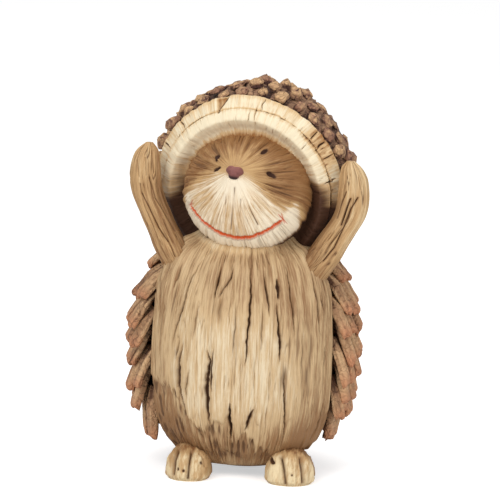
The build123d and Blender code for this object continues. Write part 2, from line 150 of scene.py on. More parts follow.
# rows by columns of points as one surface that faces outwards: its points, its faces (four corners, or three
# and a -1) and its values; poles close both ends at the middle of their rows
def closedGrid(points, values, wrapRows=False, poles=True):
    rows, columns = points.shape[:2]
    here, row = np.meshgrid(np.arange(columns), np.arange(rows if wrapRows else rows - 1))
    onward, below = (here + 1) % columns, (row + 1) % rows
    corners = [row * columns + here, row * columns + onward, below * columns + onward, below * columns + here]
    faces = [np.stack(corners, -1).reshape(-1, 4)]
    values = {"place": points, **values}
    flat = {name: [np.asarray(value, float).reshape(rows * columns, -1)] for name, value in values.items()}
    for number, end in enumerate((0, rows - 1) if poles and not wrapRows else ()):
        ring = np.arange(columns)
        pole = np.full(columns, rows * columns + number)
        start, stop = end * columns + ring, end * columns + (ring + 1) % columns
        fan = (start, stop, pole) if end else (stop, start, pole)
        faces.append(np.stack([*fan, np.full(columns, -1)], -1))
        for name, value in values.items():
            flat[name].append(np.asarray(value, float)[end].reshape(columns, -1).mean(0)[None])
    faces = np.concatenate(faces)
    flat = {name: np.concatenate(parts) for name, parts in flat.items()}
    places = flat.pop("place")
    spread = (places - places.mean(0))[np.where(faces < 0, faces[:, 2:3], faces)]
    volume = np.einsum("ij,ij->i", spread[:, 0], np.cross(spread[:, 1], spread[:, 2])).sum()
    volume += np.einsum("ij,ij->i", spread[:, 0], np.cross(spread[:, 2], spread[:, 3])).sum()
    if volume < 0:
        faces = np.where(faces[:, 3:] < 0, faces[:, [2, 1, 0, 3]], faces[:, ::-1])
    return places, faces, flat


# closed grids joined into one mesh object, with their values as point attributes
def makePiece(name, grids, material, nodes):
    pointLists, faceLists, valueSets = zip(*grids)
    points = (np.concatenate(pointLists) + barrelAxis) * mm
    starts = np.cumsum([0] + [len(own) for own in pointLists])
    faces = np.concatenate([np.where(own < 0, -1, own + start) for own, start in zip(faceLists, starts)])
    corners = np.where(faces[:, 3] < 0, 3, 4)
    loops = faces[faces >= 0]
    mesh = bpy.data.meshes.new(name)
    mesh.vertices.add(len(points))
    mesh.vertices.foreach_set("co", points.astype(np.float32).ravel())
    mesh.loops.add(len(loops))
    mesh.loops.foreach_set("vertex_index", loops.astype(np.int32))
    mesh.polygons.add(len(faces))
    mesh.polygons.foreach_set("loop_start", (np.cumsum(corners) - corners).astype(np.int32))
    mesh.update(calc_edges=True)
    mesh.validate()
    mesh.polygons.foreach_set("use_smooth", np.ones(len(mesh.polygons), bool))
    for valueName in valueSets[0]:
        value = np.concatenate([values[valueName] for values in valueSets]).astype(np.float32)
        kind, key = ("FLOAT_VECTOR", "vector") if value.shape[1] == 3 else ("FLOAT", "value")
        mesh.attributes.new(valueName, kind, "POINT").data.foreach_set(key, value.ravel())
    mesh.materials.append(material)
    piece = bpy.data.objects.new(name, mesh)
    bpy.context.scene.collection.objects.link(piece)
    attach(piece, "root")
    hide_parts(*nodes)
    print(name, len(mesh.vertices), "vertices,", int((corners - 2).sum()), "triangles")


# The photograph's view: turn, tilt and roll of the camera in degrees, millimetres per pixel, and the pixel in
# the column of the origin and the row of the ground point
view = {
    "turn": 4.0, "tilt": 10.0, "roll": 2.0, "pixelSize": 0.505, "originPixel": (241.0, 485.0),
    "groundPoint": (25.0, -48.0, 0.0), "distance": 3000.0, "depth": -25.0, "picture": 500, "sensor": 36.0,
}


# camera axes: right, up and forward, turned about z, tilted down and rolled in the picture
def cameraAxes():
    turn, tilt, roll = (math.radians(view[key]) for key in ("turn", "tilt", "roll"))
    forward = np.array([-math.sin(turn) * math.cos(tilt), math.cos(turn) * math.cos(tilt), -math.sin(tilt)])
    level = np.array([math.cos(turn), math.sin(turn), 0.0])
    upright = np.cross(level, forward)
    right = level * math.cos(roll) + upright * math.sin(roll)
    up = upright * math.cos(roll) - level * math.sin(roll)
    return right, up, forward


rightAxis, upAxis, forwardAxis = cameraAxes()


# where a pixel's line of sight crosses the plane through the origin that faces the camera
def sightLine(pixels):
    pixels = np.asarray(pixels, float)
    across = (pixels[..., 0] - view["originPixel"][0]) * view["pixelSize"]
    rise = (view["originPixel"][1] - pixels[..., 1]) * view["pixelSize"]
    rise = rise + upAxis @ np.array(view["groundPoint"])
    return across[..., None] * rightAxis + rise[..., None] * upAxis


# the pixel at which points are seen
def pixelsOf(points):
    rise = (points - np.array(view["groundPoint"])) @ upAxis
    return (view["originPixel"][0] + points @ rightAxis / view["pixelSize"],
            view["originPixel"][1] - rise / view["pixelSize"])


# depth of cuts under lines of pixels: a bell across the nearest stretch of each line, given as half width in
# pixels, depth and the line's pixels
def lineCuts(seenX, seenY, lines):
    cut = np.zeros(seenX.shape)
    for halfWidth, depth, pixels in lines:
        nearest = np.full(seenX.shape, 1e3)
        for (x0, y0), (x1, y1) in zip(pixels[:-1], pixels[1:]):
            dx, dy = seenX - x0, seenY - y0
            runX, runY = x1 - x0, y1 - y0
            share = np.clip((dx * runX + dy * runY) / math.hypot(runX, runY) ** 2, 0, 1)
            nearest = np.minimum(nearest, np.hypot(dx - share * runX, dy - share * runY))
        cut = np.maximum(cut, depth * np.exp(-np.abs(nearest / halfWidth) ** 1.6))
    return cut


# a camera far off on the line of sight of the picture's middle, with the lens that gives pixels their size
def makeCamera():
    centre = sightLine((view["picture"] / 2, view["picture"] / 2)) + forwardAxis * view["depth"]
    data = bpy.data.cameras.new("photoCamera")
    data.sensor_width = view["sensor"]
    data.lens = view["sensor"] * view["distance"] / (view["picture"] * view["pixelSize"])
    data.clip_start, data.clip_end = 0.1, 60.0
    camera = bpy.data.objects.new("photoCamera", data)
    camera.location = Vector((centre - forwardAxis * view["distance"] + barrelAxis) * mm)
    camera.rotation_euler = Matrix((rightAxis, upAxis, -forwardAxis)).transposed().to_euler()
    bpy.context.scene.collection.objects.link(camera)
    bpy.context.scene.camera = camera


makeCamera()
print("camera placed")


# each of a node's inputs gets a value or a link
def fillInputs(tree, node, inputs):
    for key, value in inputs.items():
        if isinstance(value, bpy.types.NodeSocket):
            tree.links.new(value, node.inputs[key])
        else:
            node.inputs[key].default_value = value


# a node of the given kind with its settings and inputs
def addNode(tree, kind, settings, inputs):
    made = tree.nodes.new(kind)
    for key, value in settings.items():
        setattr(made, key, value)
    fillInputs(tree, made, inputs)
    return made


# a sum, a product or the like of two or three values
def mathNode(tree, operation, *values):
    return addNode(tree, "ShaderNodeMath", {"operation": operation}, dict(enumerate(values))).outputs[0]


# one colour over another, by a share from 0 to 1
def mixColors(tree, share, under, over):
    return addNode(tree, "ShaderNodeMix", {"data_type": "RGBA"}, {0: share, 6: under, 7: over}).outputs[2]


# a value eased from start to end while it goes from low to high
def easeNode(tree, value, low, high, start=0.0, end=1.0):
    limits = {"Value": value, "From Min": low, "From Max": high, "To Min": start, "To Max": end}
    return addNode(tree, "ShaderNodeMapRange", {"interpolation_type": "SMOOTHSTEP"}, limits).outputs[0]


# noise over places, of the given scale, number of finer layers and roughness
def noiseNode(tree, places, scale, layers, roughness, output="Fac"):
    inputs = {"Vector": places, "Scale": scale, "Detail": layers, "Roughness": roughness}
    return addNode(tree, "ShaderNodeTexNoise", {}, inputs).outputs[output]


# a value that the piece's own mesh carries
def carried(tree, name, output="Fac"):
    return addNode(tree, "ShaderNodeAttribute", {"attribute_name": name}, {}).outputs[output]


# Studio: strengths in watts, sizes and places in metres
studio = {
    "skyLight": 0.46, "floorColor": (0.86, 0.86, 0.86, 1.0), "floorLift": 0.55, "floorSize": 20.0,
    "white": (1.0, 1.0, 1.0, 1.0), "aim": (0.0, -0.01, 0.10),
    "lamps": [
        {"name": "keyLamp", "place": (-0.55, -0.95, 0.95), "size": 0.9, "power": 9.0},
        {"name": "fillLamp", "place": (0.75, -0.85, 0.45), "size": 0.9, "power": 4.2},
        {"name": "topLamp", "place": (0.05, 0.15, 1.15), "size": 0.8, "power": 3.4},
    ],
}


# a world that is white where the camera sees it and a plain soft sky for all other light
def makeSky():
    world = bpy.data.worlds.new("softSky")
    world.use_nodes = True
    tree = world.node_tree
    tree.nodes.clear()
    path = addNode(tree, "ShaderNodeLightPath", {}, {}).outputs
    seen = mathNode(tree, "MAXIMUM", path["Is Camera Ray"], path["Is Transmission Ray"])
    strength = addNode(tree, "ShaderNodeMix", {}, {"Factor": seen, "A": studio["skyLight"], "B": 1.0})
    light = {"Color": studio["white"], "Strength": strength.outputs["Result"]}
    background = addNode(tree, "ShaderNodeBackground", {}, light)
    addNode(tree, "ShaderNodeOutputWorld", {}, {"Surface": background.outputs[0]})
    bpy.context.scene.world = world


# a wide pale floor, lifted towards white for the camera alone
def makeFloor():
    half = studio["floorSize"] / 2
    mesh = bpy.data.meshes.new("studioFloor")
    corners = [(-half, -half, 0), (half, -half, 0), (half, half, 0), (-half, half, 0)]
    mesh.from_pydata(corners, [], [(0, 1, 2, 3)])
    material = bpy.data.materials.new("paleFloor")
    material.use_nodes = True
    tree = material.node_tree
    path = addNode(tree, "ShaderNodeLightPath", {}, {}).outputs
    lift = mathNode(tree, "MULTIPLY", path["Is Camera Ray"], studio["floorLift"])
    fillInputs(tree, tree.nodes["Principled BSDF"], {
        "Base Color": studio["floorColor"], "Roughness": 0.9, "Specular IOR Level": 0.0,
        "Emission Color": studio["white"], "Emission Strength": lift,
    })
    mesh.materials.append(material)
    floor = bpy.data.objects.new("studioFloor", mesh)
    bpy.context.scene.collection.objects.link(floor)
    floor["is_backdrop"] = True


# a round lamp aimed at the figure
def makeLamp(lamp):
    data = bpy.data.lights.new(lamp["name"], "AREA")
    data.energy, data.shape, data.size = lamp["power"], "DISK", lamp["size"]
    lampObject = bpy.data.objects.new(lamp["name"], data)
    lampObject.location = lamp["place"]
    aim = Vector(studio["aim"]) - lampObject.location
    lampObject.rotation_euler = aim.to_track_quat("-Z", "Y").to_euler()
    bpy.context.scene.collection.objects.link(lampObject)


bpy.context.scene.view_settings.view_transform = "Standard"
makeSky()
for lamp in studio["lamps"]:
    makeLamp(lamp)
makeFloor()
print("studio built")


# a colour as a screen shows it, 0 to 255, turned into the linear colour that shaders take
def paint(red, green, blue):
    shown = np.array([red, green, blue]) / 255
    linear = np.where(shown <= 0.04045, shown / 12.92, ((shown + 0.055) / 1.055) ** 2.4)
    return (*linear.tolist(), 1.0)


# a node group with named inputs and outputs: the group, what it is given and its result node
def newGroup(name, inputs, outputs):
    group = bpy.data.node_groups.new(name, "ShaderNodeTree")
    for socketName, kind, value in inputs:
        socket = group.interface.new_socket(name=socketName, in_out="INPUT", socket_type="NodeSocket" + kind)
        if value is not None:
            socket.default_value = value
    for socketName, kind in outputs:
        group.interface.new_socket(name=socketName, in_out="OUTPUT", socket_type="NodeSocket" + kind)
    return group, group.nodes.new("NodeGroupInput").outputs, group.nodes.new("NodeGroupOutput")


# streaks and finer fibres drawn out along the grain, and cloudy blotches
def fibreGroup():
    group, given, result = newGroup(
        "woodFibres",
        [("Grain", "Vector", None), ("Place", "Vector", None), ("Fineness", "Float", 1.0)],
        [("Streak", "Float"), ("Fibre", "Float"), ("Blotch", "Float")],
    )
    coarse = mathNode(group, "MULTIPLY", given["Fineness"], 0.42)
    fine = mathNode(group, "MULTIPLY", given["Fineness"], 1.15)
    fillInputs(group, result, {
        "Streak": noiseNode(group, given["Grain"], coarse, 5.0, 0.62),
        "Fibre": noiseNode(group, given["Grain"], fine, 4.0, 0.7),
        "Blotch": noiseNode(group, given["Place"], 55.0, 4.0, 0.6),
    })
    return group


# pale wood under a thin brown wash that lies thick in the hollows and thins out on the high places; the value
# that darkens it carries that wash and also painted shade
def washGroup():
    group, given, result = newGroup(
        "agedWash",
        [("Pale", "Float", 0.5), ("WashAndShade", "Float", 0.0), ("Streak", "Float", 0.5), ("Fibre", "Float", 0.5),
         ("Blotch", "Float", 0.5), ("Streakiness", "Float", 1.0), ("Light Wood", "Color", None),
         ("Middle Wood", "Color", None), ("Brown Wash", "Color", None), ("Crack", "Color", None)],
        [("Color", "Color"), ("Roughness", "Float"), ("Height", "Float")],
    )
    fibre, hollow, brown = given["Fibre"], given["WashAndShade"], given["Brown Wash"]
    streakTone = mathNode(group, "MULTIPLY_ADD", given["Streak"], 2.1, -1.05)
    fibreTone = mathNode(group, "MULTIPLY_ADD", fibre, 2.6, -1.3)
    blotchTone = mathNode(group, "MULTIPLY_ADD", given["Blotch"], 0.7, -0.35)
    lines = mathNode(group, "MULTIPLY", mathNode(group, "ADD", streakTone, fibreTone), given["Streakiness"])
    tone = mathNode(group, "ADD", mathNode(group, "ADD", lines, blotchTone), given["Pale"])
    upper = mixColors(group, easeNode(group, tone, 0.45, 1.15), given["Middle Wood"], given["Light Wood"])
    washed = mixColors(group, easeNode(group, tone, -0.5, 0.5), brown, upper)
    soakedAndShaded = mixColors(group, mathNode(group, "MULTIPLY", hollow, 0.75), washed, brown)
    ragged = mathNode(group, "ADD", hollow, mathNode(group, "MULTIPLY_ADD", fibre, 0.5, -0.25))
    rough = mathNode(group, "MULTIPLY_ADD", fibre, 0.3, 0.42)
    fillInputs(group, result, {
        "Color": mixColors(group, easeNode(group, ragged, 0.22, 0.85), soakedAndShaded, given["Crack"]),
        "Roughness": mathNode(group, "MULTIPLY_ADD", hollow, 0.2, rough),
        "Height": mathNode(group, "MULTIPLY_ADD", given["Streak"], 0.6, fibre),
    })
    return group


# crumbly bark: cell edges warped by noise, flakes between them and fine grit
def barkGroup():
    group, given, result = newGroup(
        "crumblyBark",
        [("Place", "Vector", None), ("Scale", "Float", 300.0)],
        [("Flake", "Float"), ("Furrow", "Float"), ("Grit", "Float")],
    )
    place, scale = given["Place"], given["Scale"]
    warp = noiseNode(group, place, 260.0, 3.0, 0.5, "Color")
    push = addNode(group, "ShaderNodeVectorMath", {"operation": "SCALE"}, {0: warp, "Scale": 0.0045})
    pushed = {0: place, 1: push.outputs[0]}
    moved = addNode(group, "ShaderNodeVectorMath", {"operation": "ADD"}, pushed).outputs[0]
    cells = {"Vector": moved, "Scale": scale}
    edges = addNode(group, "ShaderNodeTexVoronoi", {"feature": "DISTANCE_TO_EDGE"}, cells)
    fillInputs(group, result, {
        "Flake": noiseNode(group, moved, mathNode(group, "MULTIPLY", scale, 0.8), 5.0, 0.65),
        "Furrow": easeNode(group, edges.outputs["Distance"], 0.0, 0.16, 1.0, 0.0),
        "Grit": noiseNode(group, place, mathNode(group, "MULTIPLY", scale, 5.0), 3.0, 0.7),
    })
    return group


fibres = fibreGroup()
wash = washGroup()
bark = barkGroup()


# a new material, its nodes and the places on the piece
def newMaterial(name):
    material = bpy.data.materials.new(name)
    material.use_nodes = True
    tree = material.node_tree
    return material, tree, addNode(tree, "ShaderNodeTexCoord", {}, {}).outputs["Object"]


# colour, roughness, relief of the given strength and height, and sheen go to the surface shader
def dressSurface(tree, colour, roughness, height, bump, distance, sheen):
    relief = {"Strength": bump, "Distance": distance, "Height": height}
    normal = addNode(tree, "ShaderNodeBump", {}, relief).outputs["Normal"]
    fillInputs(tree, tree.nodes["Principled BSDF"], {
        "Base Color": colour, "Roughness": roughness, "Normal": normal, "Specular IOR Level": sheen,
    })


# smooth carved wood: fibres and wash follow the piece's own grain, pale values and values of wash and painted
# shade, or run upright with an even paleness on a CAD node; paint lies where the mesh's value of the given
# name is high
def carvedWood(name, colours, fineness=1.0, streakiness=1.0, bump=0.35, evenPale=None, painted=None):
    material, tree, place = newMaterial(name)
    if evenPale is None:
        grain = carried(tree, "grain", "Vector")
        pale, hollow = carried(tree, "pale"), carried(tree, "hollow")
    else:
        upright = {"Vector": place, "Scale": (1000.0, 1000.0, 70.0)}
        grain = addNode(tree, "ShaderNodeMapping", {}, upright).outputs[0]
        pale, hollow = evenPale, 0.0
    light, middle, brown, crack = (paint(*colour) for colour in colours)
    inputs = {"Grain": grain, "Place": place, "Fineness": fineness}
    lines = addNode(tree, "ShaderNodeGroup", {"node_tree": fibres}, inputs).outputs
    washed = addNode(tree, "ShaderNodeGroup", {"node_tree": wash}, {
        "Pale": pale, "WashAndShade": hollow, "Streakiness": streakiness,
        "Streak": lines["Streak"], "Fibre": lines["Fibre"], "Blotch": lines["Blotch"],
        "Light Wood": light, "Middle Wood": middle, "Brown Wash": brown, "Crack": crack,
    }).outputs
    colour = washed["Color"]
    if painted:
        valueName, paintColour = painted
        uneven = mathNode(tree, "MULTIPLY_ADD", lines["Fibre"], 0.8, 0.6)
        patchy = mathNode(tree, "MULTIPLY", carried(tree, valueName), uneven)
        colour = mixColors(tree, mathNode(tree, "MINIMUM", patchy, 1.0), colour, paint(*paintColour))
    dressSurface(tree, colour, washed["Roughness"], washed["Height"], bump, 0.0006, 0.35)
    return material


# rough bark: furrows and flakes, tan where the piece is pale, purple-brown in its hollows and its painted
# shade, of another colour towards its tips; a CAD node has even values
def roughBark(name, colours, scale, onNode=False, tip=None, furrowed=0.45):
    material, tree, place = newMaterial(name)
    pale, hollow = (0.3, 0.35) if onNode else (carried(tree, "pale"), carried(tree, "hollow"))
    tan, brown, dark = (paint(*colour) for colour in colours)
    inputs = {"Place": place, "Scale": scale}
    crumbs = addNode(tree, "ShaderNodeGroup", {"node_tree": bark}, inputs).outputs
    flake, furrow, grit = crumbs["Flake"], crumbs["Furrow"], crumbs["Grit"]
    tone = mathNode(tree, "ADD", mathNode(tree, "MULTIPLY_ADD", flake, 1.5, -0.75), pale)
    tone = mathNode(tree, "MULTIPLY_ADD", grit, 0.4, mathNode(tree, "ADD", tone, -0.2))
    colour = mixColors(tree, easeNode(tree, tone, 0.1, 0.95), brown, tan)
    if tip:
        flaked = mathNode(tree, "MULTIPLY_ADD", flake, 1.2, 0.3)
        reach = mathNode(tree, "MINIMUM", mathNode(tree, "MULTIPLY", carried(tree, "tip"), flaked), 1.0)
        colour = mixColors(tree, reach, colour, paint(*tip))
    # the dark colour fills the furrows, the hollows and the painted shade
    deep = mathNode(tree, "MULTIPLY_ADD", furrow, furrowed, hollow)
    colour = mixColors(tree, easeNode(tree, deep, 0.15, 1.0), colour, dark)
    height = mathNode(tree, "MULTIPLY_ADD", grit, 0.3, mathNode(tree, "MULTIPLY_ADD", furrow, -0.7, flake))
    dressSurface(tree, colour, mathNode(tree, "MULTIPLY_ADD", grit, 0.3, 0.52), height, 0.7, 0.0009, 0.3)
    return material


# Finishes, with colours as a screen shows them: light, middle, brown and crack colour of carved wood; tan,
# brown and dark colour of bark, and the scale of its flakes
bellyWood = carvedWood("bellyWood", [(226, 207, 174), (204, 174, 132), (148, 110, 73), (78, 50, 30)],
                       streakiness=0.82)
faceWood = carvedWood("faceWood", [(244, 229, 203), (200, 162, 112), (144, 101, 60), (62, 34, 20)],
                      fineness=1.5, streakiness=0.5, painted=("mouth", (210, 82, 22)))
limbWood = carvedWood("limbWood", [(216, 188, 145), (190, 153, 107), (138, 98, 60), (88, 56, 32)],
                      streakiness=0.9)
footWood = carvedWood("footWood", [(232, 211, 170), (197, 161, 114), (143, 100, 62), (84, 54, 32)],
                      fineness=1.2, streakiness=0.7)
capWood = carvedWood("capWood", [(234, 219, 188), (214, 182, 136), (156, 106, 56), (72, 43, 25)],
                     streakiness=0.65)
noseStain = carvedWood("noseStain", [(166, 110, 96), (130, 78, 72), (92, 50, 48), (46, 24, 24)],
                       fineness=0.8, streakiness=0.5, bump=0.15)
dowelWood = carvedWood("dowelWood", [(222, 190, 140), (198, 160, 110), (160, 118, 72), (90, 60, 34)],
                       evenPale=0.6)
domeBark = roughBark("domeBark", [(184, 146, 112), (140, 102, 80), (74, 50, 42)], 420.0)
knobBark = roughBark("knobBark", [(206, 166, 122), (152, 110, 87), (82, 53, 46)], 360.0)
quillBark = roughBark("quillBark", [(208, 170, 128), (168, 128, 94), (90, 60, 42)], 300.0,
                      tip=(192, 130, 94), furrowed=0.28)
coreBark = roughBark("coreBark", [(158, 112, 78), (120, 82, 56), (60, 38, 26)], 260.0, onNode=True)
print("materials built")

# the nodes that keep their CAD mesh
for nodeName in ("torso_core", "neck_dowel", "shoulder_dowels", "foot_dowels"):
    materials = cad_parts[nodeName].data.materials
    materials.clear()
    materials.append(coreBark if nodeName == "torso_core" else dowelWood)

barrel = {
    "radius": 52.5, "waistHeight": 62.0, "undersideRadius": 30.0, "undersideHeight": 6.0,
    "neckRadius": 20.0, "neckHeight": 126.0, "dropPower": 3.0, "risePower": 2.5,
}


# radius of the barrel: a superellipse below the waist that ends at the underside, another above it that ends
# at the neck
def barrelRadius(height):
    height = np.asarray(height, float)
    low = height < barrel["waistHeight"]
    waist = barrel["waistHeight"]
    share = np.where(low, (waist - height) / (waist - barrel["undersideHeight"]),
                     (height - waist) / (barrel["neckHeight"] - waist))
    share = np.clip(share, 0, 1.01)
    power = np.where(low, barrel["dropPower"], barrel["risePower"])
    endRadius = np.where(low, barrel["undersideRadius"], barrel["neckRadius"])
    narrowing = 1 - (endRadius / barrel["radius"]) ** power
    return barrel["radius"] * (1 - narrowing * share ** power) ** (1 / power)


# where a pixel's line of sight first meets the barrel, as the turn from the front and the height, in halving
# steps
def onBarrel(pixels):
    start = sightLine(pixels)
    near = np.full(start.shape[:-1], -110.0)
    far = -(start @ forwardAxis) - start[..., 1] / forwardAxis[1]
    for _ in range(40):
        middle = (near + far) / 2
        point = start + middle[..., None] * forwardAxis
        outside = np.hypot(point[..., 0], point[..., 1]) > barrelRadius(point[..., 2])
        near, far = np.where(outside, middle, near), np.where(outside, far, middle)
    point = start + far[..., None] * forwardAxis
    return np.arctan2(point[..., 0], -point[..., 1]), point[..., 2]


# Arms: shares of the rise, the bow, the lean, the width and the depth, from the shoulder to the fingertip;
# lines are grooves as lineCuts takes them, and stray cracks come at random; heights and depths in millimetres
arms = {
    "width": 16.0, "depth": 13.0, "columns": 150, "rows": 190, "capRadius": 49.0, "rootSink": 0.14,
    "inset": 0.35, "ridges": 0.7, "threads": 0.42, "splitDepth": 0.5, "strayCracks": 26,
    "right": {
        "side": -1, "paleness": 0.28, "darkRoot": 0.2, "seed": 1301,
        "drop": 34.0, "sink": 17.4, "spread": 3.0, "forward": 20.0, "lean": -4.0, "rise": 74.5,
        "lines": [
            (0.8, 1.2, [(142, 193), (147.6, 204), (159, 228), (169, 242)]),
            (0.8, 1.1, [(156, 198), (166, 214), (176, 230)]), (0.7, 0.9, [(140.5, 184), (142, 194)]),
            (0.8, 1.0, [(150.4, 178), (156, 197)]), (0.7, 0.9, [(164.6, 219.6), (170, 235), (174, 243)]),
            (0.7, 0.8, [(153, 151), (154.7, 173)]), (0.6, 0.7, [(137.6, 161), (139.8, 177)]),
            (0.6, 0.7, [(146, 158), (147, 176)]),
        ],
        "shares": [
            (0.0, 0.0, 0.0, 1.3, 1.2), (0.17, 0.15, 0.05, 1.2, 1.2), (0.34, 0.37, 0.1, 1.08, 1.15),
            (0.5, 0.68, 0.3, 1.0, 1.05), (0.67, 0.95, 0.6, 0.98, 0.95), (0.82, 1.0, 0.85, 0.96, 0.88),
            (0.9, 0.99, 0.95, 0.86, 0.78), (0.96, 0.96, 1.0, 0.6, 0.55), (1.0, 0.93, 1.0, 0.22, 0.2),
        ],
    },
    "left": {
        "side": 1, "paleness": 0.58, "darkRoot": 0.6, "seed": 1401,
        "drop": 36.0, "sink": 18.8, "spread": 5.5, "forward": 23.0, "lean": 5.0, "rise": 73.5,
        "lines": [
            (1.0, 1.6, [(348.7, 200), (345.5, 208.3), (339.8, 225.4)]),
            (0.8, 1.2, [(336.2, 218.3), (340.5, 202.6), (344.7, 192.7)]),
            (0.9, 1.4, [(356.8, 199), (349, 211), (343.3, 226.8), (334, 248), (322.7, 261.7)]),
            (0.6, 0.8, [(313.4, 268), (327.7, 258)]), (0.6, 0.8, [(316, 250), (330, 233)]),
            (0.6, 0.7, [(311, 258), (322, 244)]), (0.6, 0.7, [(357, 178), (361, 196)]),
        ],
        "shares": [
            (0.0, 0.0, 0.0, 1.35, 1.25), (0.17, 0.11, 0.05, 1.3, 1.25), (0.34, 0.38, 0.15, 1.2, 1.15),
            (0.48, 0.64, 0.32, 1.12, 1.05), (0.61, 0.88, 0.57, 1.05, 0.98), (0.81, 0.97, 0.9, 0.98, 0.9),
            (0.9, 0.95, 0.97, 0.86, 0.8), (0.96, 0.91, 1.0, 0.62, 0.58), (1.0, 0.88, 1.0, 0.25, 0.22),
        ],
    },
}


# middle, half width and half depth of an arm at a share of its rise
def armStation(arm, share):
    rises, bows, leans, widths, depths = np.array(arm["shares"]).T
    base = barrel["neckHeight"] - arm["drop"]
    start = float(barrelRadius(base)) - arm["sink"]
    bow = arms["capRadius"] + arm["spread"] - start
    across = arm["side"] * (start + bow * smoothThrough(rises, bows, share))
    back = -arm["forward"] - arm["lean"] * smoothThrough(rises, leans, share)
    halfWidth = arms["width"] * smoothThrough(rises, widths, share) / 2
    halfDepth = arms["depth"] * smoothThrough(rises, depths, share) / 2
    return gridOf(across, back, base + arm["rise"] * share), halfWidth, halfDepth


# how far points are from the nearer arm's surface, taken from 40 balls along each arm's lower part
def fromArms(points):
    nearest = np.full(points.shape[:-1], 100.0)
    for arm in (arms["right"], arms["left"]):
        for middle, halfWidth, halfDepth in zip(*armStation(arm, np.linspace(0, 0.6, 40))):
            away = np.linalg.norm(points - middle, axis=-1)
            nearest = np.minimum(nearest, away - (halfWidth + halfDepth) / 2)
    return nearest


# Belly: cracks are half width, depth and the pixels that they run through, from the top down
belly = {
    "halfAngle": 62.0, "thickness": 5.0, "columns": 420, "innerColumns": 60, "rows": 190,
    "cracks": [
        (0.8, 2.4, [(204, 257), (191, 279), (183, 306), (175, 330), (171.6, 346)]),
        (0.8, 2.4, [(221, 265), (218, 280), (214, 299)]),
        (0.7, 2.0, [(233, 266), (231, 277), (223, 290), (217, 299)]),
        (1.6, 1.2, [(222, 296), (219, 308), (219, 324)]),
        (0.9, 2.4, [(251, 265), (251, 290), (250, 316), (247, 332), (246.6, 349), (245, 369)]),
        (0.7, 2.2, [(264, 271), (266, 288), (269, 306), (270, 316)]),
        (1.6, 3.0, [(277.5, 277), (278.5, 289), (279, 299)]),
        (1.2, 2.6, [(277, 302), (279, 326), (281, 352), (279, 363)]),
        (0.7, 2.2, [(285, 262), (289, 280), (291, 300), (294, 320), (295, 338)]),
        (0.8, 2.4, [(307, 268), (312, 290), (317, 310), (321, 336)]),
        (0.5, 1.8, [(317, 287), (321, 309), (324, 322)]),
        (0.5, 1.6, [(325, 345), (325, 358), (324, 368)]),
        (0.6, 1.8, [(185, 262), (177, 280), (173, 289)]),
        (0.7, 1.8, [(180, 337), (176, 352), (175, 360)]),
        (1.4, 2.2, [(184, 340), (178, 360), (178, 384), (183, 402), (188, 420)]),
        (1.8, 3.0, [(206, 348), (210, 360), (206, 380), (207, 400), (209, 424)]),
        (1.0, 2.2, [(213.5, 348), (211, 370), (211, 393)]),
        (1.2, 3.0, [(230, 401), (230, 420), (231, 440)]),
        (1.5, 2.6, [(254, 407), (248, 420), (245, 430)]),
        (0.7, 2.2, [(284.5, 367), (285, 392), (285, 416), (283, 440)]),
        (0.8, 2.0, [(325, 397), (321, 412), (317, 428), (309, 441)]),
        (0.5, 1.6, [(190, 368), (186, 388), (188, 398)]),
        (0.6, 1.8, [(195, 425), (199, 433), (203, 440)]),
        (0.6, 1.8, [(222, 449), (229, 454), (236, 459)]),
        (0.4, 1.2, [(262, 300), (262, 330), (261, 352)]),
        (0.4, 1.4, [(200, 300), (196, 322), (193, 340)]),
        (0.4, 1.4, [(302, 330), (303, 352), (301, 380)]),
        (0.4, 1.3, [(165, 300), (160, 330), (158, 356)]),
        (0.4, 1.2, [(236, 300), (235, 330), (234, 352)]),
        # grooves that run on from the arms
        (0.6, 1.3, [(163, 244), (160, 262), (158, 285), (158, 305)]),
        (0.5, 1.2, [(171, 243), (168, 262), (163, 286), (160, 312)]),
        (0.6, 1.4, [(178, 246), (174, 262), (168, 284)]),
        (0.5, 1.2, [(322, 279), (327, 300), (330, 326)]),
        (0.5, 1.2, [(330, 276), (335, 300), (338, 330)]),
        (0.5, 1.1, [(314, 262), (321, 284), (325, 304)]),
    ],
    # lower edge of the pale outer layer, from left to right
    "peelEdge": [(148, 368), (158, 378), (168, 388), (179, 392), (184, 410), (193, 424), (203, 429),
                 (212, 417), (221, 424), (228, 414), (236, 440), (246, 428), (256, 448), (275, 454),
                 (300, 450), (322, 440)],
    # depth of the peeling and of its shreds, heights of ridges and threads, depth of fine splits, and how far
    # the belly swells to meet the arms
    "peelDepth": 0.8, "shredDepth": 0.7, "inset": 0.35, "ridges": 0.55, "threads": 0.3, "splitDepth": 0.45,
    "armRoot": 2.2, "strayCracks": 90,
    # short ticks below the chin, which is an arc of this radius in pixels about this one
    "chinPixel": (243.0, 190.0), "chinRadius": 65.0, "chinTicks": 70,
}


# profile of the barrel (radius and height) from the middle of the underside to the middle of the neck, moved
# inwards by the inset; six steps lead across each flat end
def barrelProfile(rows, inset):
    low, high = barrel["undersideHeight"], barrel["neckHeight"]
    height = low + (high - low) * (1 - np.cos(np.pi * np.linspace(0, 1, rows))) / 2
    under = np.linspace(0.25, 0.93, 6)
    ends = under * barrel["undersideRadius"], (under * barrel["neckRadius"])[::-1]
    radius = np.concatenate([ends[0], barrelRadius(height), ends[1]])
    height = np.concatenate([np.full(6, low), height, np.full(6, high)])
    if inset:
        radius = np.maximum(radius - inset, 1.0)
        height = np.clip(height, low + inset, high - inset)
    return radius[:, None], height[:, None]


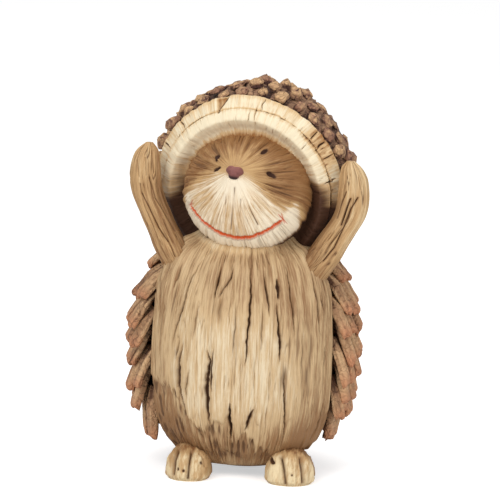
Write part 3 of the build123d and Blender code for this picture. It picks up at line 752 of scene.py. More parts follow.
# cracks at their pixels, stray cracks, and ticks that point away from the chin: the depth of all, and how
# close each point is to a crack
def bellyCuts(angle, radius, height):
    half = math.radians(belly["halfAngle"])
    cut, beside = np.zeros((2, len(height), angle.size))
    for number, (halfWidth, depth, pixels) in enumerate(belly["cracks"]):
        turns, heights = onBarrel(pixels)
        order = np.argsort(heights)
        turns, heights = turns[order], heights[order]
        share = (height - heights[0]) / (heights[-1] - heights[0])
        wander = lumps(height / 2.3, number + 0 * height, 40 + number) * 0.35
        ragged = 0.8 * halfWidth * (1 + 0.35 * lumps(height / 1.6, number + 0 * height, 90 + number))
        offset = (angle - np.interp(height, heights, turns)) * radius + wander
        cut = np.maximum(cut, groove(offset, share, ragged, depth))
        beside = np.maximum(beside, groove(offset, share, 1.2 + 2.0 * ragged, 1.0))
    scatter = np.random.default_rng(7)
    for number in range(belly["strayCracks"]):
        turn, middle = scatter.uniform(-half, half), scatter.uniform(14, 112)
        length = scatter.uniform(5, 22)
        halfWidth, depth = scatter.uniform(0.22, 0.42), scatter.uniform(0.4, 1.1)
        wander = lumps(height / 3.0, number + 0 * height, 140 + number) * 0.3
        share = (height - middle) / length + 0.5
        cut = np.maximum(cut, groove((angle - turn) * radius + wander, share, halfWidth, depth))
    for number in range(belly["chinTicks"]):
        around = math.radians(scatter.uniform(22, 158))
        start = belly["chinRadius"] + scatter.uniform(-3, 3)
        outward = np.array([math.cos(around), math.sin(around)])
        steps = np.array([[0.0], [scatter.uniform(5, 17)]])
        turns, heights = onBarrel(belly["chinPixel"] + outward * (start + steps))
        offset = (angle - np.interp(height, heights[::-1], turns[::-1])) * radius
        share = (height - heights[1]) / (heights[0] - heights[1])
        cut = np.maximum(cut, groove(offset, share, scatter.uniform(0.3, 0.6), scatter.uniform(0.5, 1.3)))
    return cut, beside


# front of the barrel between the two half angles, with fibres, broad ridges, cracks and a peeled lower edge
# cut into it, closed by the same surface moved inwards
def makeBelly():
    half = math.radians(belly["halfAngle"])
    angle = np.linspace(-half, half, belly["columns"])[None, :]
    radius, height = barrelProfile(belly["rows"], 0)
    innerRadius, innerHeight = barrelProfile(belly["rows"], belly["thickness"])
    outer = gridOf(radius * np.sin(angle), -radius * np.cos(angle), height)
    inner = gridOf(innerRadius * np.sin(angle), -innerRadius * np.cos(angle), innerHeight)
    arc = angle * barrel["radius"]
    cut, beside = bellyCuts(angle, radius, height)
    # below the peeled edge the pale layer is gone and shreds are left
    edgeTurns, edgeHeights = onBarrel(belly["peelEdge"])
    order = np.argsort(edgeTurns)
    edge = np.interp(angle, edgeTurns[order], edgeHeights[order])
    edge = edge + 2.6 * roughLumps(arc / 2.2, 0 * arc, 11, 200, 3)
    peeled = ease(edge - height, -0.6, 2.4) * ease(height, 7, 12)
    shreds = peeled * (0.5 + 0.8 * roughLumps(arc / 1.4, height / 6, 21, 256, 3))
    ridges = roughLumps(arc / 8.0, height / 60, 3, 64, 2) * belly["ridges"]
    threads = roughLumps(arc / 1.3, height / 18, 5, 256, 3) * belly["threads"]
    fineSplits = splits(roughLumps(arc / 4.2, height / 52, 15, 64, 3), 0.045)
    fineSplits = fineSplits * ease(lumps(arc / 9, height / 24, 17, 64), -0.5, 0.3)
    root = np.exp(-(np.maximum(fromArms(outer), 0) / 4.2) ** 2)
    push = ridges + threads - belly["inset"] - peeled * belly["peelDepth"] - shreds * belly["shredDepth"]
    push = push - belly["splitDepth"] * fineSplits
    low, high = barrel["undersideHeight"], barrel["neckHeight"]
    push = push * (ease(height, low, low + 4) * ease(high - height, 0, 4)) - cut + belly["armRoot"] * root
    outer = outer + gridNormals(outer, outer, wrapColumns=False) * push[..., None]
    outer[0], outer[-1] = inner[0], inner[-1]
    hollow = largest(np.clip(cut / 2.2, 0, 1), 0.42 * fineSplits, 0.45 * beside,
                     peeled * ease(-roughLumps(arc / 1.6, height / 9, 31, 256, 3), -0.2, 0.6) * 0.62,
                     0.54 * ease(-0.5 * ridges - 1.8 * threads, 0.2, 0.9))
    # the sides are darker, part brown wash and part painted shade; painted shade under the head darkens the
    # top, and the belly darkens towards the underside; the chin's pale tufts lighten the place in front of it
    degrees = np.degrees(angle)
    sides = 0.72 * ease(-degrees, 20, 56) + 0.84 * ease(degrees, 12, 54)
    underHeadShade = ease(height, 72, 102) * (0.78 - 0.45 * ease(-degrees, 8, 34))
    pale = 0.84 - np.minimum(sides + underHeadShade, 0.84) - 0.9 * ease(-height, -44, -16) - 0.3 * peeled + 0.1 * root
    seenX, seenY = pixelsOf(outer)
    chinward = np.hypot(seenX - belly["chinPixel"][0], seenY - belly["chinPixel"][1]) - belly["chinRadius"]
    tufts = 2 * roughLumps(arc / 1.3, height / 9, 55, 256, 2)
    pale = pale + 0.55 * ease(tufts - chinward, -3, 4) * ease(height, 90, 100)
    pale = pale + 0.14 * roughLumps(arc / 7, height / 26, 51, 64, 2)
    # the hidden inner wall has few columns
    sparse = np.round(np.linspace(belly["columns"] - 1, 0, belly["innerColumns"])).astype(int)
    values = {"hollow": hollow, "pale": pale, "grain": gridOf(arc, height * 0.07, 0 * arc)}
    values = {key: np.concatenate([value, value[:, sparse]], 1) for key, value in values.items()}
    points = np.concatenate([outer, inner[:, sparse]], 1)
    grid = closedGrid(points, values, poles=False)
    makePiece("belly", [grid], bellyWood, ["belly_panel"])


makeBelly()

# Head: stations of the sections along its axis, in shares, as reach, half width, half height and drop
head = {
    "forward": 18.0, "height": 144.0, "halfWidth": 33.0, "halfHeight": 30.5, "backReach": 24.0,
    "snoutReach": 37.5, "yaw": -7.7, "pitch": 24.0, "roll": -7.0, "columns": 600, "rows": 150, "tipRows": 8,
    "backShares": [(-1.0, 0.62, 0.62, 0.0), (-0.5, 0.91, 0.92, 0.0), (0.0, 1.0, 1.0, 0.0)],
    "frontShares": [(0.28, 0.935, 0.93, 0.01), (0.54, 0.74, 0.72, 0.05), (0.76, 0.47, 0.46, 0.06),
                    (0.91, 0.26, 0.25, 0.04), (1.0, 0.15, 0.15, 0.02)],
    # short stray grooves in the hair, and ticks round the chin
    "strayGrooves": 120, "chinTicks": 64,
    # the mouth from corner to corner, and the upper edge of the pale muzzle
    "mouth": [(190, 205), (198, 216), (210, 227), (225, 235), (240, 238.5), (252, 237), (262, 233),
              (273, 227), (283, 220)],
    "muzzleEdge": [(186, 200), (190, 193), (197, 186), (207, 181), (220, 179), (231, 180), (239, 181),
                   (249, 184), (258, 191), (266, 199), (276, 208), (288, 209), (298, 206)],
    "mouthHalfWidth": 0.68, "mouthDepth": 1.2, "cornerDepth": 0.7, "slitDepth": 1.1, "muzzleSwell": 0.5,
    "inset": 0.35, "splitDepth": 0.3,
    # dark strands in the muzzle, as lineCuts takes them
    "muzzleLines": [
        (0.8, 0.9, [(226, 195), (226, 217)]), (1.0, 1.0, [(235, 189), (233, 210), (231, 230)]),
        (0.7, 0.8, [(241, 200), (240, 219)]), (0.8, 1.0, [(246, 200), (252, 214), (258, 225)]),
        (0.7, 0.7, [(219, 215), (216, 225)]), (0.7, 0.7, [(262, 200), (270, 209)]),
        (0.7, 0.7, [(209, 190), (202, 198)]),
    ],
    # eyes and brow slits: pixel, half length, half width and turn
    "slits": [((216.9, 169.9), 2.6, 1.5, 40.0), ((271.9, 175.5), 3.0, 1.8, -24.0),
              ((217.0, 157.7), 3.0, 1.5, 100.0), ((264.4, 152.4), 2.9, 1.5, 74.0)],
}


# the head's own axes: to the viewer's right, to the crown and to the nose, with the roll about the last
def headAxes():
    yaw, pitch, roll = (math.radians(head[key]) for key in ("yaw", "pitch", "roll"))
    toNose = np.array([math.sin(yaw) * math.cos(pitch), -math.cos(yaw) * math.cos(pitch), math.sin(pitch)])
    level = np.array([math.cos(yaw), math.sin(yaw), 0.0])
    toCrown = np.cross(toNose, level)
    across = level * math.cos(roll) + toCrown * math.sin(roll)
    return across, np.cross(toNose, across), toNose


headAcross, headCrown, headNose = headAxes()
headCentre = np.array([0.0, -head["forward"], head["height"]])
headStations = [(reach * head["backReach"], *rest) for reach, *rest in head["backShares"]]
headStations += [(reach * head["snoutReach"], *rest) for reach, *rest in head["frontShares"]]


# places on the figure from places along the head's own axes
def headPlace(local):
    return headCentre + local[..., :1] * headAcross + local[..., 1:2] * headCrown + local[..., 2:3] * headNose


# half width, half height and drop of the head's section at a depth along its axis
def headSection(z):
    zs, widths, heights, drops = np.array(headStations).T
    halfWidth = smoothThrough(zs, widths, z) * head["halfWidth"]
    halfHeight = smoothThrough(zs, heights, z) * head["halfHeight"]
    return halfWidth, halfHeight, smoothThrough(zs, drops, z) * head["halfHeight"]


# where pixels' lines of sight first meet the head, as places across and up in its own frame, in even steps
def onHead(pixels):
    start = sightLine(pixels) - headCentre
    points = start[None] + np.linspace(-160, 120, 2801)[:, None, None] * forwardAxis
    x, y, z = points @ headAcross, points @ headCrown, points @ headNose
    halfWidth, halfHeight, drop = headSection(z)
    inside = (x / halfWidth) ** 2 + ((y + drop) / halfHeight) ** 2 < 1
    first = np.argmax(inside & (z > headStations[0][0]) & (z < headStations[-1][0]), 0)
    pick = np.arange(len(start))
    return x[first, pick], y[first, pick]


# rings of ellipses from the nose to the back, evenly spaced along the surface, after a few across the end of
# the snout
def headRings(angle):
    fineZ = np.linspace(headStations[-1][0], headStations[0][0], 600)
    length = np.concatenate([[0], np.cumsum(np.hypot(np.diff(fineZ), np.diff(headSection(fineZ)[0])))])
    z = np.interp(np.linspace(0, length[-1], head["rows"]), length, fineZ)
    z = np.concatenate([np.full(head["tipRows"], fineZ[0]), z])[:, None]
    shrink = np.concatenate([np.linspace(0.08, 0.92, head["tipRows"]), np.ones(head["rows"])])[:, None]
    halfWidth, halfHeight, drop = headSection(z)
    return halfWidth * shrink * np.cos(angle), halfHeight * shrink * np.sin(angle) - drop, z


# short grooves that run out from the nose at random places, and ticks round the chin
def hairCuts(cells, out, front):
    cut = np.zeros(out.shape)
    scatter = np.random.default_rng(17)
    for number in range(head["strayGrooves"]):
        turn, begin, reach = scatter.uniform(0, 1), scatter.uniform(13, 30), scatter.uniform(3, 8)
        halfWidth, depth = scatter.uniform(0.18, 0.34), scatter.uniform(0.3, 0.8)
        offset = aroundFrom(cells, turn) * 2 * np.pi * np.maximum(out, 1)
        offset = offset + 0.3 * lumps(out / 2.5, number + 0 * out, 300 + number)
        cut = np.maximum(cut, groove(offset, (out - begin) / reach, halfWidth, depth) * front)
    for number in range(head["chinTicks"]):
        turn = (-90 + scatter.uniform(-80, 80)) / 360
        begin, reach = scatter.uniform(26.5, 31), scatter.uniform(2.5, 6)
        halfWidth = scatter.uniform(0.2, 0.38)
        offset = aroundFrom(cells, turn) * 2 * np.pi * np.maximum(out, 1)
        cut = np.maximum(cut, groove(offset, (out - begin) / reach, halfWidth, 0.8) * front)
    return cut


# the mouth: a line with two ticks at each corner, and the dark edges of the lips; fromDown is the turn from
# straight down, out the distance from the head's axis
def mouthMarks(cells, out, fromDown, ahead):
    mouthX, mouthY = onHead(head["mouth"])
    turns = np.degrees(np.arctan2(mouthX, -mouthY))
    order = np.argsort(turns)
    turns, outs = turns[order], np.hypot(mouthX, mouthY)[order]
    within = ease(fromDown, turns[0] - 1, turns[0] + 5) * ease(-fromDown, -turns[-1] - 1, 5 - turns[-1])
    fromMouth = out - smoothThrough(turns, outs, np.clip(fromDown, turns[0], turns[-1]))
    uneven = 1 + 0.2 * lumps(cells * 90, 0 * out, 73, 90)
    halfWidth = head["mouthHalfWidth"] * (0.7 + 0.3 * ease(within, 0.2, 1)) * uneven
    line = np.clip(1 - np.abs(fromMouth) / halfWidth, 0, 1) * within * ahead
    lips = np.clip(1 - np.abs(np.abs(fromMouth) - halfWidth) / 0.5, 0, 1) * within * ahead
    corners = np.zeros(out.shape)
    for turn, outward in ((turns[0], outs[0]), (turns[-1], outs[-1])):
        for lean, length in ((0.0, 5.5), (0.7, 4.0)):
            beside = (fromDown - turn) * np.pi / 180 * out + lean * (out - outward)
            tick = groove(beside, (out - outward + 0.6 * length) / length, 0.5, 1.0) * ahead
            corners = np.maximum(corners, tick)
    return line, lips, corners


# eyes and brow slits: hollow ellipses, and the shade round them
def slitMarks(x, y, ahead):
    slits, halo = np.zeros((2, *x.shape))
    for pixel, halfLength, halfWidth, turn in head["slits"]:
        (across,), (up,) = onHead([pixel])
        dx, dy, tilt = x - across, y - up, math.radians(turn)
        along = (dx * math.cos(tilt) + dy * math.sin(tilt)) / halfLength
        beside = (dy * math.cos(tilt) - dx * math.sin(tilt)) / halfWidth
        slits = np.maximum(slits, np.clip(2.2 * (1 - np.hypot(along, beside)), 0, 1) * ahead)
        halo = np.maximum(halo, np.clip(1.7 - np.hypot(along, beside), 0, 1) * ahead)
    return slits, halo


# the pale muzzle: below its upper edge, which hairs of uneven length break up
def muzzleMask(cells, x, y, out):
    edgeX, edgeY = onHead(head["muzzleEdge"])
    order = np.argsort(edgeX)
    hairs = 2.6 * lumps(cells * 150, out / 14, 71, 150) + 1.4 * lumps(cells * 60, out / 30, 72, 60)
    below = np.interp(x, edgeX[order], edgeY[order]) - y + hairs * ease(out, 3, 12)
    sides = ease(edgeX.max() + 1.5 - x, -3, 4) * ease(x - edgeX.min() + 1.5, -3, 4)
    return ease(below, -8.0, 3.0) * sides


# the head's rings with hair grooves that run out from the nose, the muzzle and the marks of the face
def makeHead():
    angle = wholeTurn(head["columns"])
    cells = angle / (2 * np.pi)
    x, y, z = headRings(angle)
    local = gridOf(x, y, z)
    out = np.hypot(x, y)
    fromDown = np.degrees(np.arctan2(x, -y))
    front, ahead = ease(z, -6, 4), z > 0
    coarse = roughLumps(cells * 96, out / 18, 61, 96, 2)
    fine = roughLumps(cells * 210, out / 12, 63, 210, 2)
    brow = ease(np.abs(fromDown), 55, 85) * ease(out, 6, 12)
    hairSplits = splits(roughLumps(cells * 84, out / 17, 65, 84, 3), 0.07) * ease(out, 7, 15)
    grooves = (coarse * (0.3 + 0.2 * brow) + fine * (0.2 + 0.12 * brow)) * ease(out, 3, 16)
    cut = hairCuts(cells, out, front)
    line, lips, corners = mouthMarks(cells, out, fromDown, ahead)
    slits, halo = slitMarks(x, y, ahead)
    muzzle = muzzleMask(cells, x, y, out) * front
    muzzleCuts = lineCuts(*pixelsOf(headPlace(local)), head["muzzleLines"]) * ahead * (0.6 + 0.5 * fine)
    push = grooves + head["muzzleSwell"] * muzzle * ease(34 - out, 0, 9) - head["inset"]
    push = push - head["splitDepth"] * hairSplits * front - cut - 0.7 * muzzleCuts
    push = push - line * head["mouthDepth"] - head["cornerDepth"] * corners - slits * head["slitDepth"]
    local = local + gridNormals(local, local) * push[..., None]
    strands = ease(-(0.5 * coarse + 0.8 * fine), 0.05, 0.8) * (0.22 + 0.34 * brow * ease(out, 10, 20))
    strands = strands * ease(out, 5, 12) * (1 - 0.45 * muzzle)
    # the last value darkens the back of the head by the cap and the arms, part dark wash and part painted
    # shade, less on the crown
    hollow = largest(np.clip(cut, 0, 1) * 0.5, slits * 1.3, corners * 0.5, 0.45 * halo, 0.5 * lips,
                     0.75 * muzzleCuts, np.maximum(strands, hairSplits * (0.18 + 0.3 * brow)) * front,
                     0.85 * ease(-z, -7, 8) * (1 - 0.6 * ease(y, 10, 24)))
    # the chin is pale hair, and painted light brightens it more where it faces down
    chinPaleAndLit = ease(out, 26.5, 30) * muzzle
    pale = -0.12 + 0.9 * muzzle + 0.84 * chinPaleAndLit + 0.2 * ease(x, 10, 24) * (1 - brow)
    pale = pale + 0.32 * ease(20 - out, 0, 12) + 0.1 * coarse - 0.3 * brow * (1 - muzzle) * ease(out, 13, 24)
    values = {"hollow": np.clip(hollow, 0, 1), "pale": pale,
              "mouth": np.clip(line * 2.2 + 0.9 * corners, 0, 1),
              "grain": gridOf(np.cos(angle) * 26, np.sin(angle) * 26, out * 0.09)}
    makePiece("hedgehogHead", [closedGrid(headPlace(local), values)], faceWood, ["head"])


makeHead()

# Nose: a rounded triangle on the end of the snout
nose = {"width": 8.4, "height": 6.0, "thickness": 3.6, "sink": 1.5, "columns": 72, "rows": 22}


# rounded triangle with its point down, domed to the front: its depth falls with the third power of the
# distance out
def makeNose():
    angle = wholeTurn(nose["columns"])
    share = np.linspace(0.04, 1, nose["rows"])[:, None]
    outline = 0.5 + 0.075 * np.cos(3 * (angle - np.pi / 2 - np.pi / 3))
    outline = outline - 0.02 * np.cos(6 * (angle - np.pi / 2))
    x = outline * np.cos(angle) * nose["width"] * share
    y = outline * np.sin(angle) * nose["height"] * 1.12 * share + 0.3
    depth = nose["thickness"] * (1 - share ** 3.0) ** 0.6 + 0.12 * roughLumps(x / 1.6, y / 1.6, 81, 64, 2)
    tipDrop = head["frontShares"][-1][3] * head["halfHeight"]
    top = gridOf(x, y - tipDrop, head["snoutReach"] + depth)
    base = top[-1:].copy()
    base[..., 2] = head["snoutReach"] - nose["sink"]
    local = np.concatenate([top, base], 0)
    hollow = ease(-y, 1.0, 3.2) * 0.9 * ease(share, 0.3, 1)
    hollow = np.concatenate([hollow, np.ones((1, nose["columns"]))], 0)
    # painted highlight: the nose is paler on its upper middle
    pale = 0.2 + 0.55 * ease(local[..., 1], -1, 3.0) * (1 - ease(np.abs(local[..., 0]), 1.5, 5.5))
    values = {"hollow": hollow, "pale": pale, "grain": local * 0.6}
    makePiece("noseButton", [closedGrid(headPlace(local), values)], noseStain, ["nose"])


makeNose()

# Cap: its axis points to the back and a little up; radii and depths are taken along that axis
cap = {
    "forward": 10.0, "height": 144.6, "yaw": 10.2, "pitch": 9.9, "radius": 49.0,
    "domeRadius": 48.5, "domeStart": 15.0, "domeDepth": 37.0, "domeRows": 96,
    "boreRadius": 35.6, "boreDepth": 26.0, "boreRows": 24, "domeColumns": 300,
    "seatDepth": 2.4, "rimInner": 43.2, "rimFront": 4.9, "rimEdge": 1.2, "bandFront": 5.7,
    "crestRadius": 38.9, "crestFront": 9.6, "lipRadius": 36.9, "lipFront": 8.6,
    "valleyRadius": 33.4, "valleyFront": 5.8, "bandInner": 27.0,
    "columns": 1080, "faceStep": 0.42, "wallStep": 0.9, "facePlane": 5.0,
    # heights of the rings' fibres and waves, and how far the rings and the dome lie inside their even shapes
    "fibres": 0.28, "rimWaves": 0.45, "bandWaves": 0.25, "inset": 0.3,
    "crumbs": 1.3, "domeInset": 0.6, "crownSwell": 2.6,
    # cracks in the face: half width, depth, inner and outer radius, and the pixel that they pass
    "cracks": [
        (0.6, 1.4, 43.5, 49.5, (309, 141)), (0.7, 1.7, 43.5, 49.0, (316, 150)),
        (0.55, 1.3, 43.5, 49.5, (325, 160)), (0.45, 1.6, 42.0, 47.0, (322, 183)),
        (0.6, 1.8, 44.0, 50.0, (165, 147)), (0.5, 1.6, 44.0, 50.0, (180, 126)),
        (0.3, 1.0, 37.0, 44.0, (250, 122)), (0.3, 1.0, 38.0, 46.0, (256, 116)),
        (0.35, 1.2, 43.5, 50.0, (262, 106)), (0.3, 0.9, 38.0, 43.0, (300, 150)),
    ],
    "strayCracks": 60,
    # the chipped wedge in the rim: its point, and its width at the outer edge
    "chipPixel": (218.5, 111.0), "chipWidth": 6.6, "chipDepth": 1.2,
    # the brown patch in the rim: its middle and its reach in pixels
    "brownPatchPixel": (318.0, 150.0), "brownPatchReach": 26.0,
}


# the cap's own axes: across, up and to the crown
def capAxes():
    yaw, pitch = math.radians(cap["yaw"]), math.radians(cap["pitch"])
    toCrown = np.array([math.sin(yaw) * math.cos(pitch), math.cos(yaw) * math.cos(pitch), math.sin(pitch)])
    across = np.array([math.cos(yaw), -math.sin(yaw), 0.0])
    return across, np.cross(toCrown, across), toCrown


capAcross, capUp, capCrown = capAxes()
capCentre = np.array([0.0, -cap["forward"], cap["height"]])


# places on the figure from places along the cap's own axes
def capPlace(local):
    return capCentre + local[..., :1] * capAcross + local[..., 1:2] * capUp + local[..., 2:3] * capCrown


# turn round the cap's axis at which a pixel's line of sight meets the plane of the cap's face
def onCap(pixels):
    start = sightLine(pixels)
    reach = ((capCentre - cap["facePlane"] * capCrown - start) @ capCrown) / (forwardAxis @ capCrown)
    point = start + reach[..., None] * forwardAxis - capCentre
    return np.arctan2(point @ capUp, point @ capAcross)


# a closed outline of radius and depth, divided finely in front and coarsely on the walls behind, turned about
# the axis
def turnedRing(outline):
    outline = np.array(outline + outline[:1], float)
    length = np.concatenate([[0], np.cumsum(np.hypot(*np.diff(outline, axis=0).T))])
    hidden = np.maximum(outline[1:, 1], outline[:-1, 1]) > cap["seatDepth"] - 0.1
    steps = np.where(hidden, cap["wallStep"], cap["faceStep"])
    counts = np.maximum(np.round(np.diff(length) / steps), 1).astype(int)
    stretches = zip(length[:-1], length[1:], counts)
    at = np.concatenate([np.linspace(*ends, count, endpoint=False) for *ends, count in stretches])
    radius = np.interp(at, length, outline[:, 0])[:, None]
    depth = np.interp(at, length, outline[:, 1])[:, None]
    return radius, depth, wholeTurn(cap["columns"], -np.pi)


# cracks at their pixels and stray ones in the face of a ring
def ringCuts(radius, angle, facing, seed):
    cut = np.zeros((len(radius), angle.size))
    for number, (halfWidth, deep, inner, outer, pixel) in enumerate(cap["cracks"]):
        offset = aroundFrom(angle, onCap(pixel), 2 * np.pi) * radius
        offset = offset + 0.5 * lumps(radius / 2.2, number + 0 * radius, 400 + number)
        cut = np.maximum(cut, groove(offset, (radius - inner) / (outer - inner), halfWidth, deep) * facing)
    scatter = np.random.default_rng(seed)
    for number in range(cap["strayCracks"]):
        turn, inner = scatter.uniform(-np.pi, np.pi), scatter.uniform(33, 47)
        outer = inner + scatter.uniform(1.5, 5)
        offset, share = aroundFrom(angle, turn, 2 * np.pi) * radius, (radius - inner) / (outer - inner)
        cut = np.maximum(cut, groove(offset, share, scatter.uniform(0.18, 0.34), 0.6) * facing)
    return cut


# one ring of the cap: fibres that run outwards, waves of the given height, cracks, the chip, painted shade on
# its lower part and a brown patch
def makeRing(name, outline, seed, waviness, paleOf, node):
    radius, depth, angle = turnedRing(outline)
    local = gridOf(radius * np.cos(angle), radius * np.sin(angle), depth)
    cells = angle / (2 * np.pi) + 0.5
    fibresUp = roughLumps(cells * 110, radius / 12, seed, 110, 3) * cap["fibres"]
    waves = roughLumps(cells * 26, radius / 20, seed + 7, 26, 2) * waviness
    facing = ease(-depth, -2.0, 1.0)
    cut = ringCuts(radius, angle, facing, seed)
    # the chip is a wedge that widens outwards on one side of its crack
    beside = aroundFrom(angle, onCap(cap["chipPixel"]), 2 * np.pi) * radius
    wide = cap["chipWidth"] * np.clip((radius - cap["rimInner"]) / (cap["radius"] - cap["rimInner"]), 0, 1)
    rough = roughLumps(cells * 260, radius / 2.0, seed + 31, 260, 2) / 1.5
    chip = ease(beside, -1.0, 0.4) * ease(wide + 0.3 - beside, 0, 0.5) * facing * (radius > cap["rimInner"])
    chipEdge = chip * ease(beside - wide + 1.5, 0, 0.9)
    push = fibresUp + waves - cap["inset"] - cut - cap["chipDepth"] * chip * (1 + 0.3 * rough)
    middle = gridOf(radius.mean() * np.cos(angle), radius.mean() * np.sin(angle), depth.mean())
    local = local + gridNormals(local, local - middle, wrapRows=True) * push[..., None]
    # painted shade: below the middle the rings turn away from the light and are painted dark
    strandy = roughLumps(cells * 18, radius / 9, seed + 41, 18, 2)
    strandy = strandy + 0.6 * roughLumps(cells * 70, radius / 20, seed + 47, 70, 2)
    paintedShadeBelow = ease(radius * np.sin(angle) + 4.5 * strandy + 0.5 * (43 - radius), -13, 12)
    seenX, seenY = pixelsOf(capPlace(local))
    # a brown patch darkens the rim's outer face on the right
    patchy = ease(cap["brownPatchReach"] - np.hypot(seenX - cap["brownPatchPixel"][0], seenY - cap["brownPatchPixel"][1]), 0, 12)
    patchy = patchy * ease(radius, 42, 44.5) * (0.75 + 0.5 * rough)
    hollow = largest(np.clip(cut / 1.4, 0, 1), chip * (0.32 + 0.25 * rough) + 0.7 * chipEdge, paintedShadeBelow,
                     patchy * ease(rough, 0.25, 0.6) * 0.7)
    values = {"hollow": np.clip(hollow, 0, 1),
              "pale": paleOf(radius, cells) - paintedShadeBelow - 0.9 * chip - 1.05 * patchy,
              "grain": gridOf(np.cos(angle) * 40, np.sin(angle) * 40, radius * 0.12)}
    makePiece(name, [closedGrid(capPlace(local), values, wrapRows=True)], capWood, [node])


# the rim is pale between its brown outer edge and the step at its inner one, where painted shade darkens it
def rimPaleness(radius, cells):
    return 0.88 - 0.3 * ease(radius, 46.8, 48.8) - 0.5 * ease(44.6 - radius, 0, 0.8)


# painted shade darkens the band inwards into the valley, from a ragged edge on, and against the step outside
def bandPaleness(radius, cells):
    ragged = 0.9 * roughLumps(cells * 90, radius / 9, 620, 90, 2)
    inwards = 1.1 * ease(34.4 + ragged - radius, 0, 4.6)
    return 1.05 - inwards - 0.35 * ease(33 - radius, 0, 4) - 0.3 * ease(radius, 42.4, 43.6)


# the outer ring: a step up from the band, a face that falls outwards and a rounded edge
def makeRim():
    inner, outer, front, edge = (cap[key] for key in ("rimInner", "radius", "rimFront", "rimEdge"))
    outline = [(inner, cap["seatDepth"]), (inner, -front), (inner + 0.6, -front - 0.1),
               (outer - edge, -edge * (front / (outer - inner))), (outer - 0.3, -0.3), (outer, edge / 2),
               (outer - 0.4, 1.6), (outer - edge, cap["seatDepth"])]
    makeRing("capRim", outline, 500, cap["rimWaves"], rimPaleness, "cap_rim")


# the inner ring: a curve over its crest and lip and down to the forehead
def makeBand():
    outer = cap["rimInner"] + 0.6
    bends = np.array([(outer, -cap["bandFront"]), (cap["crestRadius"], -cap["crestFront"]),
                      (cap["lipRadius"], -cap["lipFront"]), (cap["valleyRadius"], -cap["valleyFront"]),
                      (cap["bandInner"], -cap["valleyFront"])])
    reach = np.array([0.0, 1.0, 1.5, 2.4, 4.0])
    at = np.linspace(reach[0], reach[-1], 36)
    curve = zip(smoothThrough(reach, bends[:, 0], at), smoothThrough(reach, bends[:, 1], at))
    outline = [(outer, cap["seatDepth"]), *curve, (cap["bandInner"], cap["seatDepth"])]
    makeRing("capBand", outline, 600, cap["bandWaves"], bandPaleness, "cap_band")


makeRim()
makeBand()


# half ellipse from the crown to the rim seat, then the bore back to its middle, turned about the axis
def makeDome():
    edge = math.asin((cap["seatDepth"] - cap["domeStart"]) / cap["domeDepth"])
    turn = np.linspace(np.radians(89.3), edge, cap["domeRows"])
    bore = np.linspace(0, np.radians(88), cap["boreRows"])
    boreDeep = cap["boreDepth"] - cap["seatDepth"]
    radius = np.concatenate([cap["domeRadius"] * np.cos(turn), cap["boreRadius"] * np.cos(bore)])[:, None]
    depth = np.concatenate([cap["domeStart"] + cap["domeDepth"] * np.sin(turn),
                            cap["seatDepth"] + boreDeep * np.sin(bore)])[:, None]
    angle = wholeTurn(cap["domeColumns"])
    local = gridOf(radius * np.cos(angle), radius * np.sin(angle), depth)
    outside = np.concatenate([np.ones(cap["domeRows"]), np.zeros(cap["boreRows"])])[:, None]
    crumbs = roughLumps(local[..., 0] / 4 + 40, local[..., 1] / 4 + 40, 701, 128, 3)
    swell = cap["crownSwell"] * ease(depth, 14, 30)
    push = (crumbs * cap["crumbs"] - cap["domeInset"] + swell) * outside
    local = local + gridNormals(local, local[:cap["domeRows"]]) * push[..., None]
    values = {"hollow": np.clip(0.35 - 0.5 * crumbs, 0, 1), "pale": 0.3 + 0.35 * crumbs}
    makePiece("capDome", [closedGrid(capPlace(local), values)], domeBark, ["cap_cup"])


makeDome()


# shapes set on their seats: their own x, y and z go along the three directions that each seat has
def setOn(seats, shapes, *directions):
    placed = seats[:, None, None]
    for axis, direction in enumerate(directions):
        placed = placed + shapes[..., axis, None] * direction[:, None, None]
    return placed


# Knobs: the same seats as the CAD knobs, from the same seeded draws; the last row is the knob on the crown
knobs = {
    "rows": 9, "width": 9.4, "gap": 0.5, "height": 5.6, "firstAngle": -12.0, "angleStep": 12.6,
    "shrink": 0.05, "uneven": 0.16, "smaller": 0.28, "shoulderDrop": 7.0, "columns": 30, "seatGap": 0.15,
    "frontShrink": (0.84, 0.9, 0.95), "chipping": 0.17, "denting": 0.12,
    # where the photographed outline rises above or falls below even knobs: pixel, reach and factor of height
    "swells": [(160, 128, 22, 1.7), (225, 88, 24, 0.45), (286, 84, 18, 1.45), (333, 124, 24, 0.35),
               (345, 150, 14, 0.8)],
    # heights of a knob's rings, in shares of its height
    "ringShares": [0.0, 0.12, 0.24, 0.36, 0.48, 0.6, 0.7, 0.8, 0.88, 0.94, 0.98, 1.0],
}


